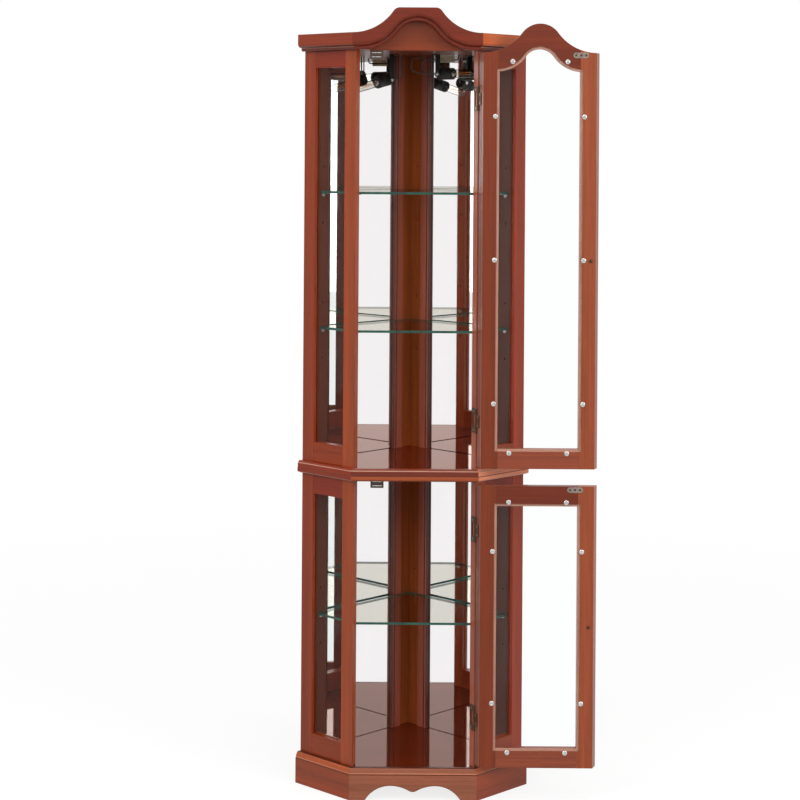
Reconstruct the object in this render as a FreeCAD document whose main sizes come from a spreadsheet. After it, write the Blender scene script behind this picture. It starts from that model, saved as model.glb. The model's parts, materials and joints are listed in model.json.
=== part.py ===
"""Corner curio cabinet with a glazed cupboard above a shorter one, as a parametric FreeCAD document.

The plan has five sides: a narrow front with a door, two canted side frames and two long
mirrored walls that meet at right angles in the corner of a room.

Frame, in millimetres: the origin is the foot of the outer back corner edge, +Z is up, -Y
points out of the corner to the front and the symmetry plane is X = 0.  The wall planes are
Y = X and Y = -X.  Both doors stand open, turned half a turn about their right-hand hinges.

Three local frames carry the pieces.  All have +y towards the inside of the cabinet:
the front frame at the middle of the front, the side frame at a front corner, with u along
the side from front to rear, and the wall frame at the back corner, with u along the wall.
"""

import math
import os
import re

import FreeCAD
import Part
import Sketcher
from FreeCAD import Placement, Rotation, Vector

SIZES = {
    # plan of the carcass
    "wall_length": 365.0,
    "side_depth": 169.0,
    "frame_thickness": 20.0,
    "stile_width": 36.0,
    "board_thickness": 13.0,
    "mirror_thickness": 4.0,
    "mirror_gap": 0.5,
    "post_face": 36.0,
    "post_lip": 8.0,
    "corner_leg": 76.0,
    "retainer_thickness": 8.0,
    "retainer_width": 31.0,
    "retainer_lap": 7.5,
    "retainer_round": 3.0,
    "retainer_groove": 3.0,
    "groove_place": 22.9,
    # heights
    "base_height": 72.0,
    "floor_thickness": 18.0,
    "lower_height": 650.5,
    "waist_thickness": 28.5,
    "upper_height": 953.0,
    "ceiling_thickness": 16.0,
    # base boards
    "base_overhang": 16.5,
    "base_step": 1.0,
    "base_step_height": 59.0,
    "base_lean": 1.6,
    "base_quirk": 0.8,
    "base_round": 6.0,
    "scallop_centre": 51.0,
    "scallop_height": 33.0,
    "scallop_radius": 67.0,
    "scallop_inner_radius": 86.0,
    "pendant_height": 19.5,
    # waist moulding
    "waist_overhang": 16.5,
    "waist_step": 2.5,
    "waist_top_round": 5.0,
    "waist_low_round": 4.5,
    "waist_fillet": 1.5,
    "waist_band_drop": 16.0,
    "waist_band_step": 1.0,
    # cornice and crest
    "cornice_overhang": 24.0,
    "cornice_height": 39.0,
    "cornice_round": 9.5,
    "cove_height": 8.0,
    "cove_overhang": 12.5,
    "cove_round": 4.0,
    "crest_thickness": 20.0,
    "crest_rise": 57.0,
    "crest_flat": 82.0,
    "crest_crown": 17.0,
    "frieze_thickness": 14.0,
    "frieze_drop": 6.0,
    "frieze_gap": 1.5,
    # side frames
    "upper_top_rail": 39.0,
    "upper_bottom_rail": 45.0,
    "lower_top_rail": 45.5,
    "lower_bottom_rail": 47.0,
    "pane_thickness": 3.0,
    "pane_groove": 3.6,
    "pane_groove_depth": 8.0,
    "pane_setback": 8.0,
    "pane_bite": 7.0,
    # shelves and their pins
    "shelf_thickness": 5.5,
    "shelf_gap": 2.0,
    "shelf_setback": 23.0,
    "lower_shelf_height": 323.0,
    "middle_shelf_height": 312.0,
    "upper_shelf_height": 629.0,
    "pin_radius": 2.5,
    "pin_depth": 10.0,
    "pin_pitch": 65.0,
    "pin_corner_place": 36.0,
    "pin_side_place": 22.0,
    "clip_width": 9.0,
    "clip_reach": 16.0,
    "clip_plate": 1.5,
    "clip_height": 8.0,
    "clip_clearance": 0.05,
    # doors
    "door_angle": 180.0,
    "door_gap": 2.0,
    "door_reveal": 5.0,
    "lower_door_lift": 7.0,
    "door_stile": 44.8,
    "upper_door_bottom_rail": 45.0,
    "lower_door_bottom_rail": 44.0,
    "lower_door_top_rail": 46.5,
    "arch_centre": 130.0,
    "arch_rise": 66.0,
    "arch_crown": 50.0,
    "sight_shoulder": 43.0,
    "sight_rise": 51.0,
    "sight_crown": 39.0,
    "rebate_width": 6.0,
    "rebate_depth": 3.8,
    "door_glass": 3.2,
    "glass_gap": 1.0,
    "arch_cover": 5.0,
    # door furniture
    "hinge_setback": 3.2,
    "hinge_inset": 105.0,
    "hinge_leaf": 1.5,
    "hinge_barrel": 3.0,
    "hinge_pin": 1.2,
    "hinge_pin_clearance": 0.05,
    "hinge_height": 57.0,
    "hinge_knuckle": 28.0,
    "hinge_play": 0.5,
    "hinge_leaf_width": 19.0,
    "hinge_window": 12.0,
    "button_radius": 5.5,
    "button_height": 2.2,
    "button_offset": 3.4,
    "button_corner": 108.0,
    "button_rail_inset": 32.2,
    "button_crown_place": 62.4,
    "button_crown_offset": 7.6,
    "knob_radius": 9.0,
    "knob_length": 23.0,
    "knob_flange": 7.0,
    "knob_neck": 4.0,
    "knob_bolt": 2.0,
    "bolt_head": 4.0,
    "bolt_head_height": 1.8,
    "upper_strike_place": 92.5,
    "upper_strike_drop": 12.0,
    "lower_strike_place": 85.0,
    "lower_strike_drop": 8.2,
    "strike_length": 36.0,
    "strike_width": 13.0,
    "strike_thickness": 1.2,
    "bow_share": 0.55,
    "catch_gap": 0.5,
    "catch_length": 30.0,
    "catch_depth": 13.0,
    "catch_height": 20.0,
    # lamps
    "lamp_offset": 60.0,
    "left_lamp_place": 151.0,
    "left_lamp_drop": 61.0,
    "left_lamp_tilt": 13.0,
    "right_lamp_place": 154.0,
    "right_lamp_drop": 46.0,
    "right_lamp_tilt": 0.0,
    "socket_radius": 14.0,
    "socket_front": 36.0,
    "socket_tail": 8.0,
    "bulb_seat": 12.0,
    "bulb_neck": 8.0,
    "bulb_radius": 10.0,
    "bulb_reach": 68.0,
    "fit_clearance": 0.05,
    "strap_gap": 0.2,
    "strap_thickness": 2.0,
    "strap_width": 14.0,
    "strap_foot": 15.0,
    "lamp_pin": 2.0,
    "lamp_pin_head": 3.6,
    "lead_radius": 1.5,
    "lead_gap": 4.4,
    "lead_inset": 3.3,
    "lead_spacing": 4.0,
    "lead_start": 20.0,
    "lead_bend": 9.0,
    "lead_outer": -7.5,
    "lead_outer_bend": 15.0,
    "lead_inner": 18.5,
    "lead_inner_bend": 9.0,
    "lead_hang": 12.0,
    "lead_end": 107.0,
    "left_lead": -32.0,
    "tag_left": 59.0,
    "tag_right": 97.0,
    "tag_drop": 18.5,
    "tag_thickness": 0.4,
}

# Distances worked out from the sizes above, as expressions of the sheet.
TILT = "tan(22.5)"
HALF_FRONT = "((wall_length - side_depth) / sqrt(2))"
HALF_WIDTH = "(wall_length / sqrt(2))"
FRONT_Y = "(-(wall_length + side_depth) / sqrt(2))"
MIRROR_FACE = "(board_thickness + mirror_thickness)"
LINING = f"({MIRROR_FACE} + retainer_thickness)"
POST_EDGE = "(wall_length - frame_thickness - post_face)"
WAIST_UNDER = "(base_height + lower_height)"
WAIST_TOP = f"({WAIST_UNDER} + waist_thickness)"
CEILING = f"({WAIST_TOP} + upper_height)"
CORNICE_TOP = f"({CEILING} + cornice_height)"
FRIEZE_FRONT = "(frame_thickness + frieze_gap)"
FRIEZE_BACK = f"({FRIEZE_FRONT} + frieze_thickness)"
DOOR_HALF = f"({HALF_FRONT} - door_gap / cos(22.5))"
SIGHT = f"({DOOR_HALF} - door_stile)"
REBATE = f"({SIGHT} + rebate_width)"
GLASS_FACE = "(frame_thickness - rebate_depth)"
LOWER_DOOR_FOOT = "(base_height + lower_door_lift)"
LOWER_DOOR_HEIGHT = "(lower_height - lower_door_lift - door_reveal)"
UPPER_DOOR_FOOT = f"({WAIST_TOP} + door_reveal)"
UPPER_DOOR_HEIGHT = "(upper_height - 2 * door_reveal)"
HINGE_X = f"({HALF_FRONT} + hinge_setback * sin(22.5) - door_gap / 2 * cos(22.5))"
HINGE_OUT = "(hinge_setback * cos(22.5) + door_gap / 2 * sin(22.5))"

HANDS = ((-1, "left"), (1, "right"))
SECTIONS = (
    ("lower", "base_height", "lower_height"),
    ("upper", WAIST_TOP, "upper_height"),
)
SHELVES = (
    ("lower", "base_height", "lower_shelf_height"),
    ("middle", WAIST_TOP, "middle_shelf_height"),
    ("upper", WAIST_TOP, "upper_shelf_height"),
)

DOC = FreeCAD.newDocument("corner_curio_cabinet")
SHEET = DOC.addObject("Spreadsheet::Sheet", "dims")
NODES = []


def fill_sheet():
    """Write the driving sizes to the sheet, one named cell each."""
    for row, (name, size) in enumerate(SIZES.items(), start=1):
        SHEET.set(f"A{row}", name)
        SHEET.set(f"B{row}", str(size))
        SHEET.setAlias(f"B{row}", name)
    DOC.recompute()


def bind(text):
    """Return an expression with the sheet's name before each size."""
    return re.sub(r"\b(" + "|".join(SIZES) + r")\b", r"dims.\1", text)


def value(text):
    """Return the number that an expression has now."""
    return float(SHEET.evalExpression(bind(text)))


def wall_point(u, v, hand=1):
    """Return the plan point at u along a back wall and v in from its outer face."""
    return (f"{hand} * (({u}) - ({v})) / sqrt(2)", f"-(({u}) + ({v})) / sqrt(2)")


def rectangle(x0, y0, x1, y1):
    """Return the outline of a rectangle between two corners."""
    return [(x0, y0), (x1, y0), (x1, y1), (x0, y1)]


def oval(length, width):
    """Return the outline of a plate with bowed ends, centred on the origin."""
    bow = f"({width} * bow_share)"
    end = f"({length} / 2 - {bow} + sqrt({bow} * {bow} - {width} * {width} / 4))"
    half = f"({width} / 2)"
    return [
        (f"-{end}", f"-{half}"),
        (end, f"-{half}"),
        (end, half, bow, "left"),
        (f"-{end}", half),
        (f"-{end}", f"-{half}", bow, "left"),
    ]


def mirrored(outline, hand):
    """Return an outline with its x values times hand, and its arcs turned to suit."""
    other = {"left": "right", "right": "left"}
    flipped = []
    for x, y, *bend in outline:
        if bend and hand < 0:
            bend = [bend[0], other[bend[1]]]
        flipped.append((f"{hand} * ({x})", y, *bend))
    return flipped


class Ogee:
    """A double curve from a level shoulder up to a level crown, the same on both sides."""

    def __init__(self, centre, shoulder, rise, crown, flat="0"):
        self.centre = centre
        self.shoulder = shoulder
        self.rise = rise
        self.crown = crown
        self.flat = flat
        run = f"({centre} - ({flat}))"
        self.radii = f"(({run} * {run} + {rise} * {rise}) / (2 * {rise}))"
        self.flank = f"({self.radii} - ({crown}))"

    def offset(self, distance):
        """Return the same curve moved outwards, square to itself."""
        return Ogee(
            self.centre,
            f"({self.shoulder} + {distance})",
            self.rise,
            f"({self.crown} + {distance})",
            self.flat,
        )

    def height_at(self, x):
        """Return the height at a place on the hollow part of the curve."""
        run = f"({self.centre} - {x})"
        return f"({self.shoulder} + {self.flank} - sqrt({self.flank} * {self.flank} - {run} * {run}))"

    def turn_point(self):
        """Return the place where the hollow curve meets the round one."""
        share = f"({self.crown}) / {self.radii}"
        x = f"({self.flat} + ({self.centre} - ({self.flat})) * {share})"
        return x, f"({self.shoulder} + {self.rise} - {self.rise} * {share})"

    def climb(self, from_x, direction):
        """Return the points over the curve, from one side to the other.

        direction is 1 for left to right and -1 for right to left.
        """
        x, z = self.turn_point()
        hollow, round_ = ("left", "right") if direction > 0 else ("right", "left")
        top = f"({self.shoulder} + {self.rise})"
        start = (f"{-direction} * {from_x}", self.height_at(from_x))
        points = [start, (f"{-direction} * {x}", z, self.flank, hollow)]
        if self.flat == "0":
            points.append((f"{direction} * {x}", z, self.crown, round_))
        else:
            points.append((f"{-direction} * {self.flat}", top, self.crown, round_))
            points.append((f"{direction} * {self.flat}", top))
            points.append((f"{direction} * {x}", z, self.crown, round_))
        points.append((f"{direction} * {from_x}", self.height_at(from_x), self.flank, hollow))
        return points


def arc_of(start, end, radius, turn):
    """Return the arc from start to end that turns left or right, under half a turn."""
    chord = end - start
    half = chord.Length / 2
    rise = math.sqrt(max(radius * radius - half * half, 0.0))
    side = 1 if turn == "left" else -1
    normal = Vector(-chord.y, chord.x, 0).normalize() * side
    centre = (start + end) * 0.5 + normal * rise
    circle = Part.Circle(centre, Vector(0, 0, 1), radius)
    first, last = (start, end) if turn == "left" else (end, start)
    low = math.atan2(first.y - centre.y, first.x - centre.x)
    high = math.atan2(last.y - centre.y, last.x - centre.x)
    if high <= low:
        high += 2 * math.pi
    return Part.ArcOfCircle(circle, low, high)


class Piece:
    """One PartDesign body, whose sketches and lengths are bound to the sheet."""

    def __init__(self, label):
        self.body = DOC.addObject("PartDesign::Body", label)
        self.body.Label = label

    def sketch(self, plane, outlines, at):
        """Add a sketch on an origin plane, moved along the axis that the plane lacks."""
        sketch = self.body.newObject("Sketcher::SketchObject", f"{self.body.Label}_sketch")
        base = next(o for o in self.body.Origin.OriginFeatures if o.Role == f"{plane}_Plane")
        sketch.AttachmentSupport = [(base, "")]
        sketch.MapMode = "FlatFace"
        sign = "-1" if plane == "XZ" else "1"
        sketch.setExpression("AttachmentOffset.Base.z", bind(f"{sign} * ({at})"))
        for outline in outlines:
            if isinstance(outline, tuple):
                self.draw_circle(sketch, *outline)
            else:
                self.draw_outline(sketch, outline)
        return sketch

    @staticmethod
    def hold_point(sketch, index, end, x, y):
        """Bind one end of a line or arc, or a centre, to its place."""
        for kind, text in (("DistanceX", x), ("DistanceY", y)):
            number = sketch.addConstraint(
                Sketcher.Constraint(kind, -1, 1, index, end, value(text))
            )
            sketch.setExpression(f"Constraints[{number}]", bind(text))

    def draw_circle(self, sketch, x, y, radius):
        """Add a circle whose centre and radius are bound to the sheet."""
        centre = Vector(value(x), value(y), 0)
        index = sketch.addGeometry(Part.Circle(centre, Vector(0, 0, 1), value(radius)))
        self.hold_point(sketch, index, 3, x, y)
        number = sketch.addConstraint(Sketcher.Constraint("Radius", index, value(radius)))
        sketch.setExpression(f"Constraints[{number}]", bind(radius))

    @staticmethod
    def draw_edge(sketch, start, end, bend):
        """Add a line or an arc; return its number and its ends, first one first."""
        if not bend:
            return sketch.addGeometry(Part.LineSegment(start, end)), (1, 2)
        radius, turn = bend
        index = sketch.addGeometry(arc_of(start, end, value(radius), turn))
        number = sketch.addConstraint(Sketcher.Constraint("Radius", index, value(radius)))
        sketch.setExpression(f"Constraints[{number}]", bind(radius))
        return index, (1, 2) if turn == "left" else (2, 1)

    def draw_outline(self, sketch, outline):
        """Add a closed outline of lines and arcs whose corners are bound to the sheet."""
        corners = [Vector(value(x), value(y), 0) for x, y, *_ in outline]
        if corners[0].isEqual(corners[-1], 1e-6):
            outline = [(*outline[0][:2], *outline[-1][2:]), *outline[1:-1]]
            corners = corners[:-1]
        edges = [
            self.draw_edge(sketch, corners[place - 1], corners[place], bend)
            for place, (_, _, *bend) in enumerate(outline)
        ]
        for place, (x, y, *_) in enumerate(outline):
            index, (_, last) = edges[place]
            after, (first, _) = edges[(place + 1) % len(edges)]
            sketch.addConstraint(Sketcher.Constraint("Coincident", index, last, after, first))
            self.hold_point(sketch, index, last, x, y)

    def draw_path(self, sketch, path):
        """Add an open path of lines and arcs whose corners are bound to the sheet."""
        corners = [Vector(value(x), value(y), 0) for x, y, *_ in path]
        before = None
        for place, (x, y, *bend) in enumerate(path[1:], start=1):
            edge = self.draw_edge(sketch, corners[place - 1], corners[place], bend)
            index, (first, last) = edge
            if before:
                sketch.addConstraint(Sketcher.Constraint("Coincident", *before, index, first))
            else:
                self.hold_point(sketch, index, first, *path[0][:2])
            self.hold_point(sketch, index, last, x, y)
            before = (index, last)

    def pad(self, plane, outlines, length, at="0", reverse=False, middle=False):
        """Add material: up from XY, to the front from XZ, or to +X from YZ."""
        feature = self.body.newObject("PartDesign::Pad", f"{self.body.Label}_pad")
        feature.Profile = self.sketch(plane, outlines, at)
        feature.setExpression("Length", bind(length))
        feature.Reversed = reverse
        if middle:
            feature.SideType = "Symmetric"
        self.body.Tip = feature
        return self

    def cut(self, plane, outlines, depth=None, at="0", reverse=False):
        """Take material away: down from XY, to the back from XZ, to -X from YZ, or all through."""
        feature = self.body.newObject("PartDesign::Pocket", f"{self.body.Label}_cut")
        feature.Profile = self.sketch(plane, outlines, at)
        if depth is None:
            feature.Type = "ThroughAll"
            feature.SideType = "Symmetric"
        else:
            feature.setExpression("Length", bind(depth))
            feature.Reversed = reverse
        self.body.Tip = feature
        return self

    def turn(self, outline, axis):
        """Add a turned shape about the body's own X or Y axis."""
        feature = self.body.newObject("PartDesign::Revolution", f"{self.body.Label}_turn")
        sketch = self.sketch("XY", [outline], "0")
        feature.Profile = sketch
        feature.ReferenceAxis = (sketch, [{"X": "H_Axis", "Y": "V_Axis"}[axis]])
        feature.Angle = 360
        self.body.Tip = feature
        return self

    def cord(self, path, radius):
        """Run a round cord along a path in XZ that starts straight down at height 0."""
        feature = self.body.newObject("PartDesign::AdditivePipe", f"{self.body.Label}_cord")
        feature.Profile = self.sketch("XY", [(path[0][0], "0", radius)], "0")
        spine = self.sketch("XZ", [], "0")
        self.draw_path(spine, path)
        feature.Spine = spine
        self.body.Tip = feature
        return self

    def round_edges(self, radius, first, second):
        """Round the edges between the faces that look one way and those that look another."""
        DOC.recompute()
        base = self.body.Tip
        names = edges_between(base.Shape, first, second)
        feature = self.body.newObject("PartDesign::Fillet", f"{self.body.Label}_round")
        feature.Base = (base, names)
        feature.setExpression("Radius", bind(radius))
        self.body.Tip = feature
        return self

    def place(self, x, y, z, angle="0"):
        """Bind the body's place and its turn about the vertical."""
        place_object(self.body, x, y, z, angle)
        return self

    def keep(self):
        """Make the body a node of its own."""
        NODES.append(self.body)
        return self


def place_object(part, x, y, z, angle="0"):
    """Bind an object's place and its turn about the vertical to the sheet."""
    quarter = 90
    part.Placement = Placement(Vector(), Rotation(Vector(0, 0, 1), quarter))
    for axis, text in zip("xyz", (x, y, z)):
        part.setExpression(f"Placement.Base.{axis}", bind(text))
    part.setExpression("Placement.Rotation.Angle", bind(angle))


def looks(direction):
    """Return a test for faces whose outward normal is within 80 degrees of a direction."""
    return lambda normal: normal.dot(direction) > 0.17


def faces_front(normal):
    """Tell whether a face looks straight to the front of its own frame."""
    return normal.y < -0.999


def edges_between(shape, first, second):
    """Return the names of the edges where a face of one kind meets a face of another."""
    names = []
    for number, edge in enumerate(shape.Edges, start=1):
        normals = []
        for face in shape.ancestorsOfType(edge, Part.Face):
            low_u, high_u, low_v, high_v = face.ParameterRange
            normals.append(face.normalAt((low_u + high_u) / 2, (low_v + high_v) / 2))
        if len(normals) == 2:
            one, other = normals
            if (first(one) and second(other)) or (first(other) and second(one)):
                names.append(f"Edge{number}")
    return names


UNDER = looks(Vector(0, 0, -1))


def group(label, pieces):
    """Join separate solids of one kind in one node."""
    compound = DOC.addObject("Part::Compound", label)
    compound.Label = label
    compound.Links = [piece.body for piece in pieces]
    NODES.append(compound)


def at_front(piece, z="0"):
    """Set a piece in the front frame."""
    return piece.place("0", FRONT_Y, z)


def at_side(piece, hand, z="0"):
    """Set a piece in a side frame, where x is hand times u."""
    return piece.place(f"{hand} * {HALF_FRONT}", FRONT_Y, z, f"{hand} * 45")


def at_side_middle(piece, hand, z="0"):
    """Set a piece in the middle of a side."""
    x = f"{hand} * ({HALF_FRONT} + {HALF_WIDTH}) / 2"
    return piece.place(x, f"({FRONT_Y} - {HALF_WIDTH}) / 2", z, f"{hand} * 45")


def at_wall(piece, hand, z="0"):
    """Set a piece in a wall frame, where x is -hand times u."""
    return piece.place("0", "0", z, f"{hand} * 135")


def on_door(piece, x, y, z):
    """Set a piece on a door, from its place in the front frame with the door shut."""
    run = f"(({x}) - {HINGE_X})"
    out = f"(({y}) + {HINGE_OUT})"
    return piece.place(
        f"{HINGE_X} + {run} * cos(door_angle) - {out} * sin(door_angle)",
        f"{FRONT_Y} - {HINGE_OUT} + {run} * sin(door_angle) + {out} * cos(door_angle)",
        z,
        "door_angle",
    )


# Mouldings -------------------------------------------------------------------------------


def moulding(label, profile, reach, hand=0):
    """Run a moulding along the front (hand 0) or a side, mitred at the front corners."""
    piece = Piece(label)
    tip = f"({reach} * {TILT})"
    if hand == 0:
        half = f"({HALF_FRONT} + {tip})"
        piece.pad("YZ", [profile], f"2 * {half}", at=f"-{half}")
        corner = [
            (f"{HALF_FRONT} - {TILT}", "1"),
            (f"{HALF_FRONT} + ({reach} + 1) * {TILT}", f"-({reach} + 1)"),
            (f"{HALF_FRONT} + ({reach} + 1) * {TILT}", "1"),
        ]
        piece.cut("XY", [corner, mirrored(corner, -1)])
        return at_front(piece)
    start = f"-{tip}" if hand > 0 else "-side_depth"
    piece.pad("YZ", [profile], f"side_depth + {tip}", at=start)
    corner = [
        (TILT, "1"),
        (f"-({reach} + 1) * {TILT}", f"-({reach} + 1)"),
        (f"-({reach} + 1) * {TILT}", "1"),
    ]
    piece.cut("XY", [mirrored(corner, hand)])
    return at_side(piece, hand)


def base_profile():
    """Return the section of a base board: flat face, step, leaning band and rounded shoulder."""
    face = "(base_overhang - base_step)"
    band = f"({face} - base_lean)"
    top = f"({band} - base_quirk)"
    return [
        ("0", "0"),
        ("-base_overhang", "0"),
        ("-base_overhang", "base_step_height"),
        (f"-{face}", "base_step_height"),
        (f"-{band}", "base_height - base_round"),
        (f"-{top}", "base_height - base_round"),
        (f"-({top} - base_round)", "base_height", "base_round", "right"),
        ("0", "base_height"),
    ]


def waist_profile():
    """Return the section of the waist moulding: rounded top, two bands and rounded foot."""
    top = "(waist_overhang - waist_step)"
    foot = "(waist_overhang - waist_low_round)"
    return [
        ("0", WAIST_UNDER),
        (f"-({foot} - 2 * waist_fillet)", WAIST_UNDER),
        (f"-({foot} - 2 * waist_fillet)", f"{WAIST_UNDER} + waist_fillet"),
        (f"-{foot}", f"{WAIST_UNDER} + waist_fillet"),
        (
            "-waist_overhang",
            f"{WAIST_UNDER} + waist_fillet + waist_low_round",
            "waist_low_round",
            "right",
        ),
        ("-waist_overhang", f"{WAIST_TOP} - waist_band_drop"),
        ("-(waist_overhang - waist_band_step)", f"{WAIST_TOP} - waist_band_drop"),
        ("-(waist_overhang - waist_band_step)", f"{WAIST_TOP} - waist_top_round"),
        (f"-{top}", f"{WAIST_TOP} - waist_top_round"),
        (f"-({top} - waist_top_round)", WAIST_TOP, "waist_top_round", "right"),
        ("0", WAIST_TOP),
    ]


def cornice_profile():
    """Return the section of a side cornice: small round under a large round and a fascia."""
    seam = f"({CEILING} + cove_height)"
    return [
        ("0", CEILING),
        ("-(cove_overhang - cove_round)", CEILING),
        ("-cove_overhang", f"{CEILING} + cove_round", "cove_round", "right"),
        ("-cove_overhang", seam),
        ("-(cornice_overhang - cornice_round)", seam),
        ("-cornice_overhang", f"{seam} + cornice_round", "cornice_round", "right"),
        ("-cornice_overhang", CORNICE_TOP),
        ("0", CORNICE_TOP),
    ]


def build_base():
    """Make the three base boards; the front one has a scalloped foot."""
    front = moulding("base_front", base_profile(), "base_overhang")
    lobes = Ogee("scallop_centre", "0", "(scallop_height - pendant_height)", "0")
    pendant = f"({lobes.radii} - scallop_inner_radius)"
    share = f"({pendant} / {lobes.radii})"
    turn_x = f"(scallop_centre * {share})"
    turn_z = f"(pendant_height + (scallop_height - pendant_height) * {share})"
    drop = "(scallop_radius - scallop_height)"
    foot = f"(scallop_centre + sqrt(scallop_radius * scallop_radius - {drop} * {drop}))"
    front.cut(
        "XZ",
        [
            [
                (f"-{foot}", "-1"),
                (foot, "-1"),
                (foot, "0"),
                ("scallop_centre", "scallop_height", "scallop_radius", "left"),
                (turn_x, turn_z, "scallop_inner_radius", "left"),
                (f"-{turn_x}", turn_z, pendant, "right"),
                ("-scallop_centre", "scallop_height", "scallop_inner_radius", "left"),
                (f"-{foot}", "0", "scallop_radius", "left"),
            ]
        ],
    )
    front.keep()
    for hand, name in HANDS:
        moulding(f"base_{name}", base_profile(), "base_overhang", hand).keep()


def build_waist():
    """Make the three lengths of waist moulding."""
    moulding("waist_moulding_front", waist_profile(), "waist_overhang").keep()
    for hand, name in HANDS:
        moulding(f"waist_moulding_{name}", waist_profile(), "waist_overhang", hand).keep()


def door_arch():
    """Return the arched top edge of the upper door, measured from the cabinet's foot."""
    return Ogee("arch_centre", f"({CEILING} - door_reveal)", "arch_rise", "arch_crown")


def build_crest():
    """Make the crest over the front, its arched under-moulding, the cornice and the frieze."""
    seam = door_arch().offset("(door_reveal + cove_height)")
    soffit = door_arch().offset("arch_cover")
    front_half = f"({HALF_FRONT} + cornice_overhang * {TILT})"
    top = Ogee(front_half, CORNICE_TOP, "crest_rise", "crest_crown", "(crest_flat / 2)")

    crest = Piece("crest_front")
    outline = [(f"-{front_half}", seam.shoulder)]
    outline += seam.climb("arch_centre", 1)
    outline += [(front_half, seam.shoulder)]
    outline += top.climb(front_half, -1)
    crest.pad("XZ", [outline], "crest_thickness", at="-(cornice_overhang - crest_thickness)")
    crest.round_edges("cornice_round", faces_front, UNDER)
    reach = "(cornice_overhang + 1)"
    inner = "(cornice_overhang - crest_thickness - 1)"
    corner = [
        (f"{HALF_FRONT} + {inner} * {TILT}", f"-{inner}"),
        (f"{HALF_FRONT} + {reach} * {TILT}", f"-{reach}"),
        (f"{HALF_FRONT} + {reach} * {TILT}", f"-{inner}"),
    ]
    crest.cut("XY", [corner, mirrored(corner, -1)])
    at_front(crest).keep()

    arch = Piece("crest_arch_moulding")
    half = f"({HALF_FRONT} + {FRIEZE_FRONT})"
    outline = [(f"-{half}", soffit.shoulder)]
    outline += soffit.climb("arch_centre", 1)
    outline += [(half, soffit.shoulder), (half, seam.shoulder)]
    outline += seam.climb("arch_centre", -1)
    outline += [(f"-{half}", seam.shoulder)]
    arch.pad("XZ", [outline], f"{FRIEZE_FRONT} + cove_overhang", at=FRIEZE_FRONT)
    corner = [
        (f"{HALF_FRONT} + (cove_overhang + 1) * {TILT}", "-(cove_overhang + 1)"),
        (f"{half} + 1", "-(cove_overhang + 1)"),
        (f"{half} + 1", f"{FRIEZE_FRONT} + 1"),
        (HALF_FRONT, "0"),
    ]
    arch.cut("XY", [corner, mirrored(corner, -1)])
    arch.round_edges("cove_round", faces_front, UNDER)
    at_front(arch).keep()

    for hand, name in HANDS:
        moulding(f"cornice_{name}", cornice_profile(), "cornice_overhang", hand).keep()

    frieze = Piece("frieze_panel")
    wide = f"({HALF_FRONT} + {FRIEZE_BACK})"
    back = top.offset("(-frieze_drop)")
    outline = [(f"-{wide}", CEILING), (wide, CEILING), (wide, back.shoulder)]
    outline += back.climb(front_half, -1)
    outline += [(f"-{wide}", back.shoulder)]
    frieze.pad("XZ", [outline], "frieze_thickness", at=FRIEZE_BACK)
    corner = [
        (f"{HALF_FRONT} + {FRIEZE_FRONT} - 1", f"{FRIEZE_FRONT} - 1"),
        (f"{wide} + 1", f"{FRIEZE_FRONT} - 1"),
        (f"{wide} + 1", f"{FRIEZE_BACK} + 1"),
    ]
    frieze.cut("XY", [corner, mirrored(corner, -1)])
    at_front(frieze).keep()


# Carcass ---------------------------------------------------------------------------------


def build_boards():
    """Make the floor, the waist board and the ceiling."""
    right = [
        (HALF_FRONT, FRONT_Y),
        (f"{HALF_FRONT} - frame_thickness * {TILT}", f"{FRONT_Y} + frame_thickness"),
        wall_point("wall_length - frame_thickness", LINING),
        wall_point(POST_EDGE, LINING),
        wall_point(POST_EDGE, MIRROR_FACE),
        wall_point(f"{POST_EDGE} + post_lip", MIRROR_FACE),
        wall_point(f"{POST_EDGE} + post_lip", "board_thickness"),
        wall_point("corner_leg", "board_thickness"),
        wall_point("corner_leg", MIRROR_FACE),
    ]
    corner = [("0", f"-{MIRROR_FACE} * sqrt(2)")]
    left = [(f"-({x})", y) for x, y in reversed(right)]
    inside = right + corner + left
    for label, under, thickness in (
        ("lower_floor", "base_height - floor_thickness", "floor_thickness"),
        ("waist_board", WAIST_UNDER, "waist_thickness"),
    ):
        Piece(label).pad("XY", [inside], thickness, at=under).keep()
    outline = [
        (f"-({HALF_FRONT} + {FRIEZE_BACK})", f"{FRONT_Y} + {FRIEZE_BACK}"),
        (f"{HALF_FRONT} + {FRIEZE_BACK}", f"{FRONT_Y} + {FRIEZE_BACK}"),
        (HALF_WIDTH, f"-{HALF_WIDTH}"),
        ("0", "0"),
        (f"-{HALF_WIDTH}", f"-{HALF_WIDTH}"),
    ]
    Piece("ceiling_board").pad("XY", [outline], "ceiling_thickness", at=CEILING).keep()


def pin_levels():
    """Return the heights of the shelf pin holes: three about each shelf."""
    levels = []
    for _, floor, height in SHELVES:
        middle = f"({floor} + {height} - shelf_thickness - clip_height / 2)"
        levels += [f"({middle} + {step} * pin_pitch)" for step in (-1, 0, 1)]
    return levels


def bore_pins(piece, x, face):
    """Bore the shelf pin holes into a face that looks along the frame's +y."""
    holes = [(x, z, "pin_radius") for z in pin_levels()]
    piece.cut("XZ", holes, "pin_depth", at=face, reverse=True)


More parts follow.
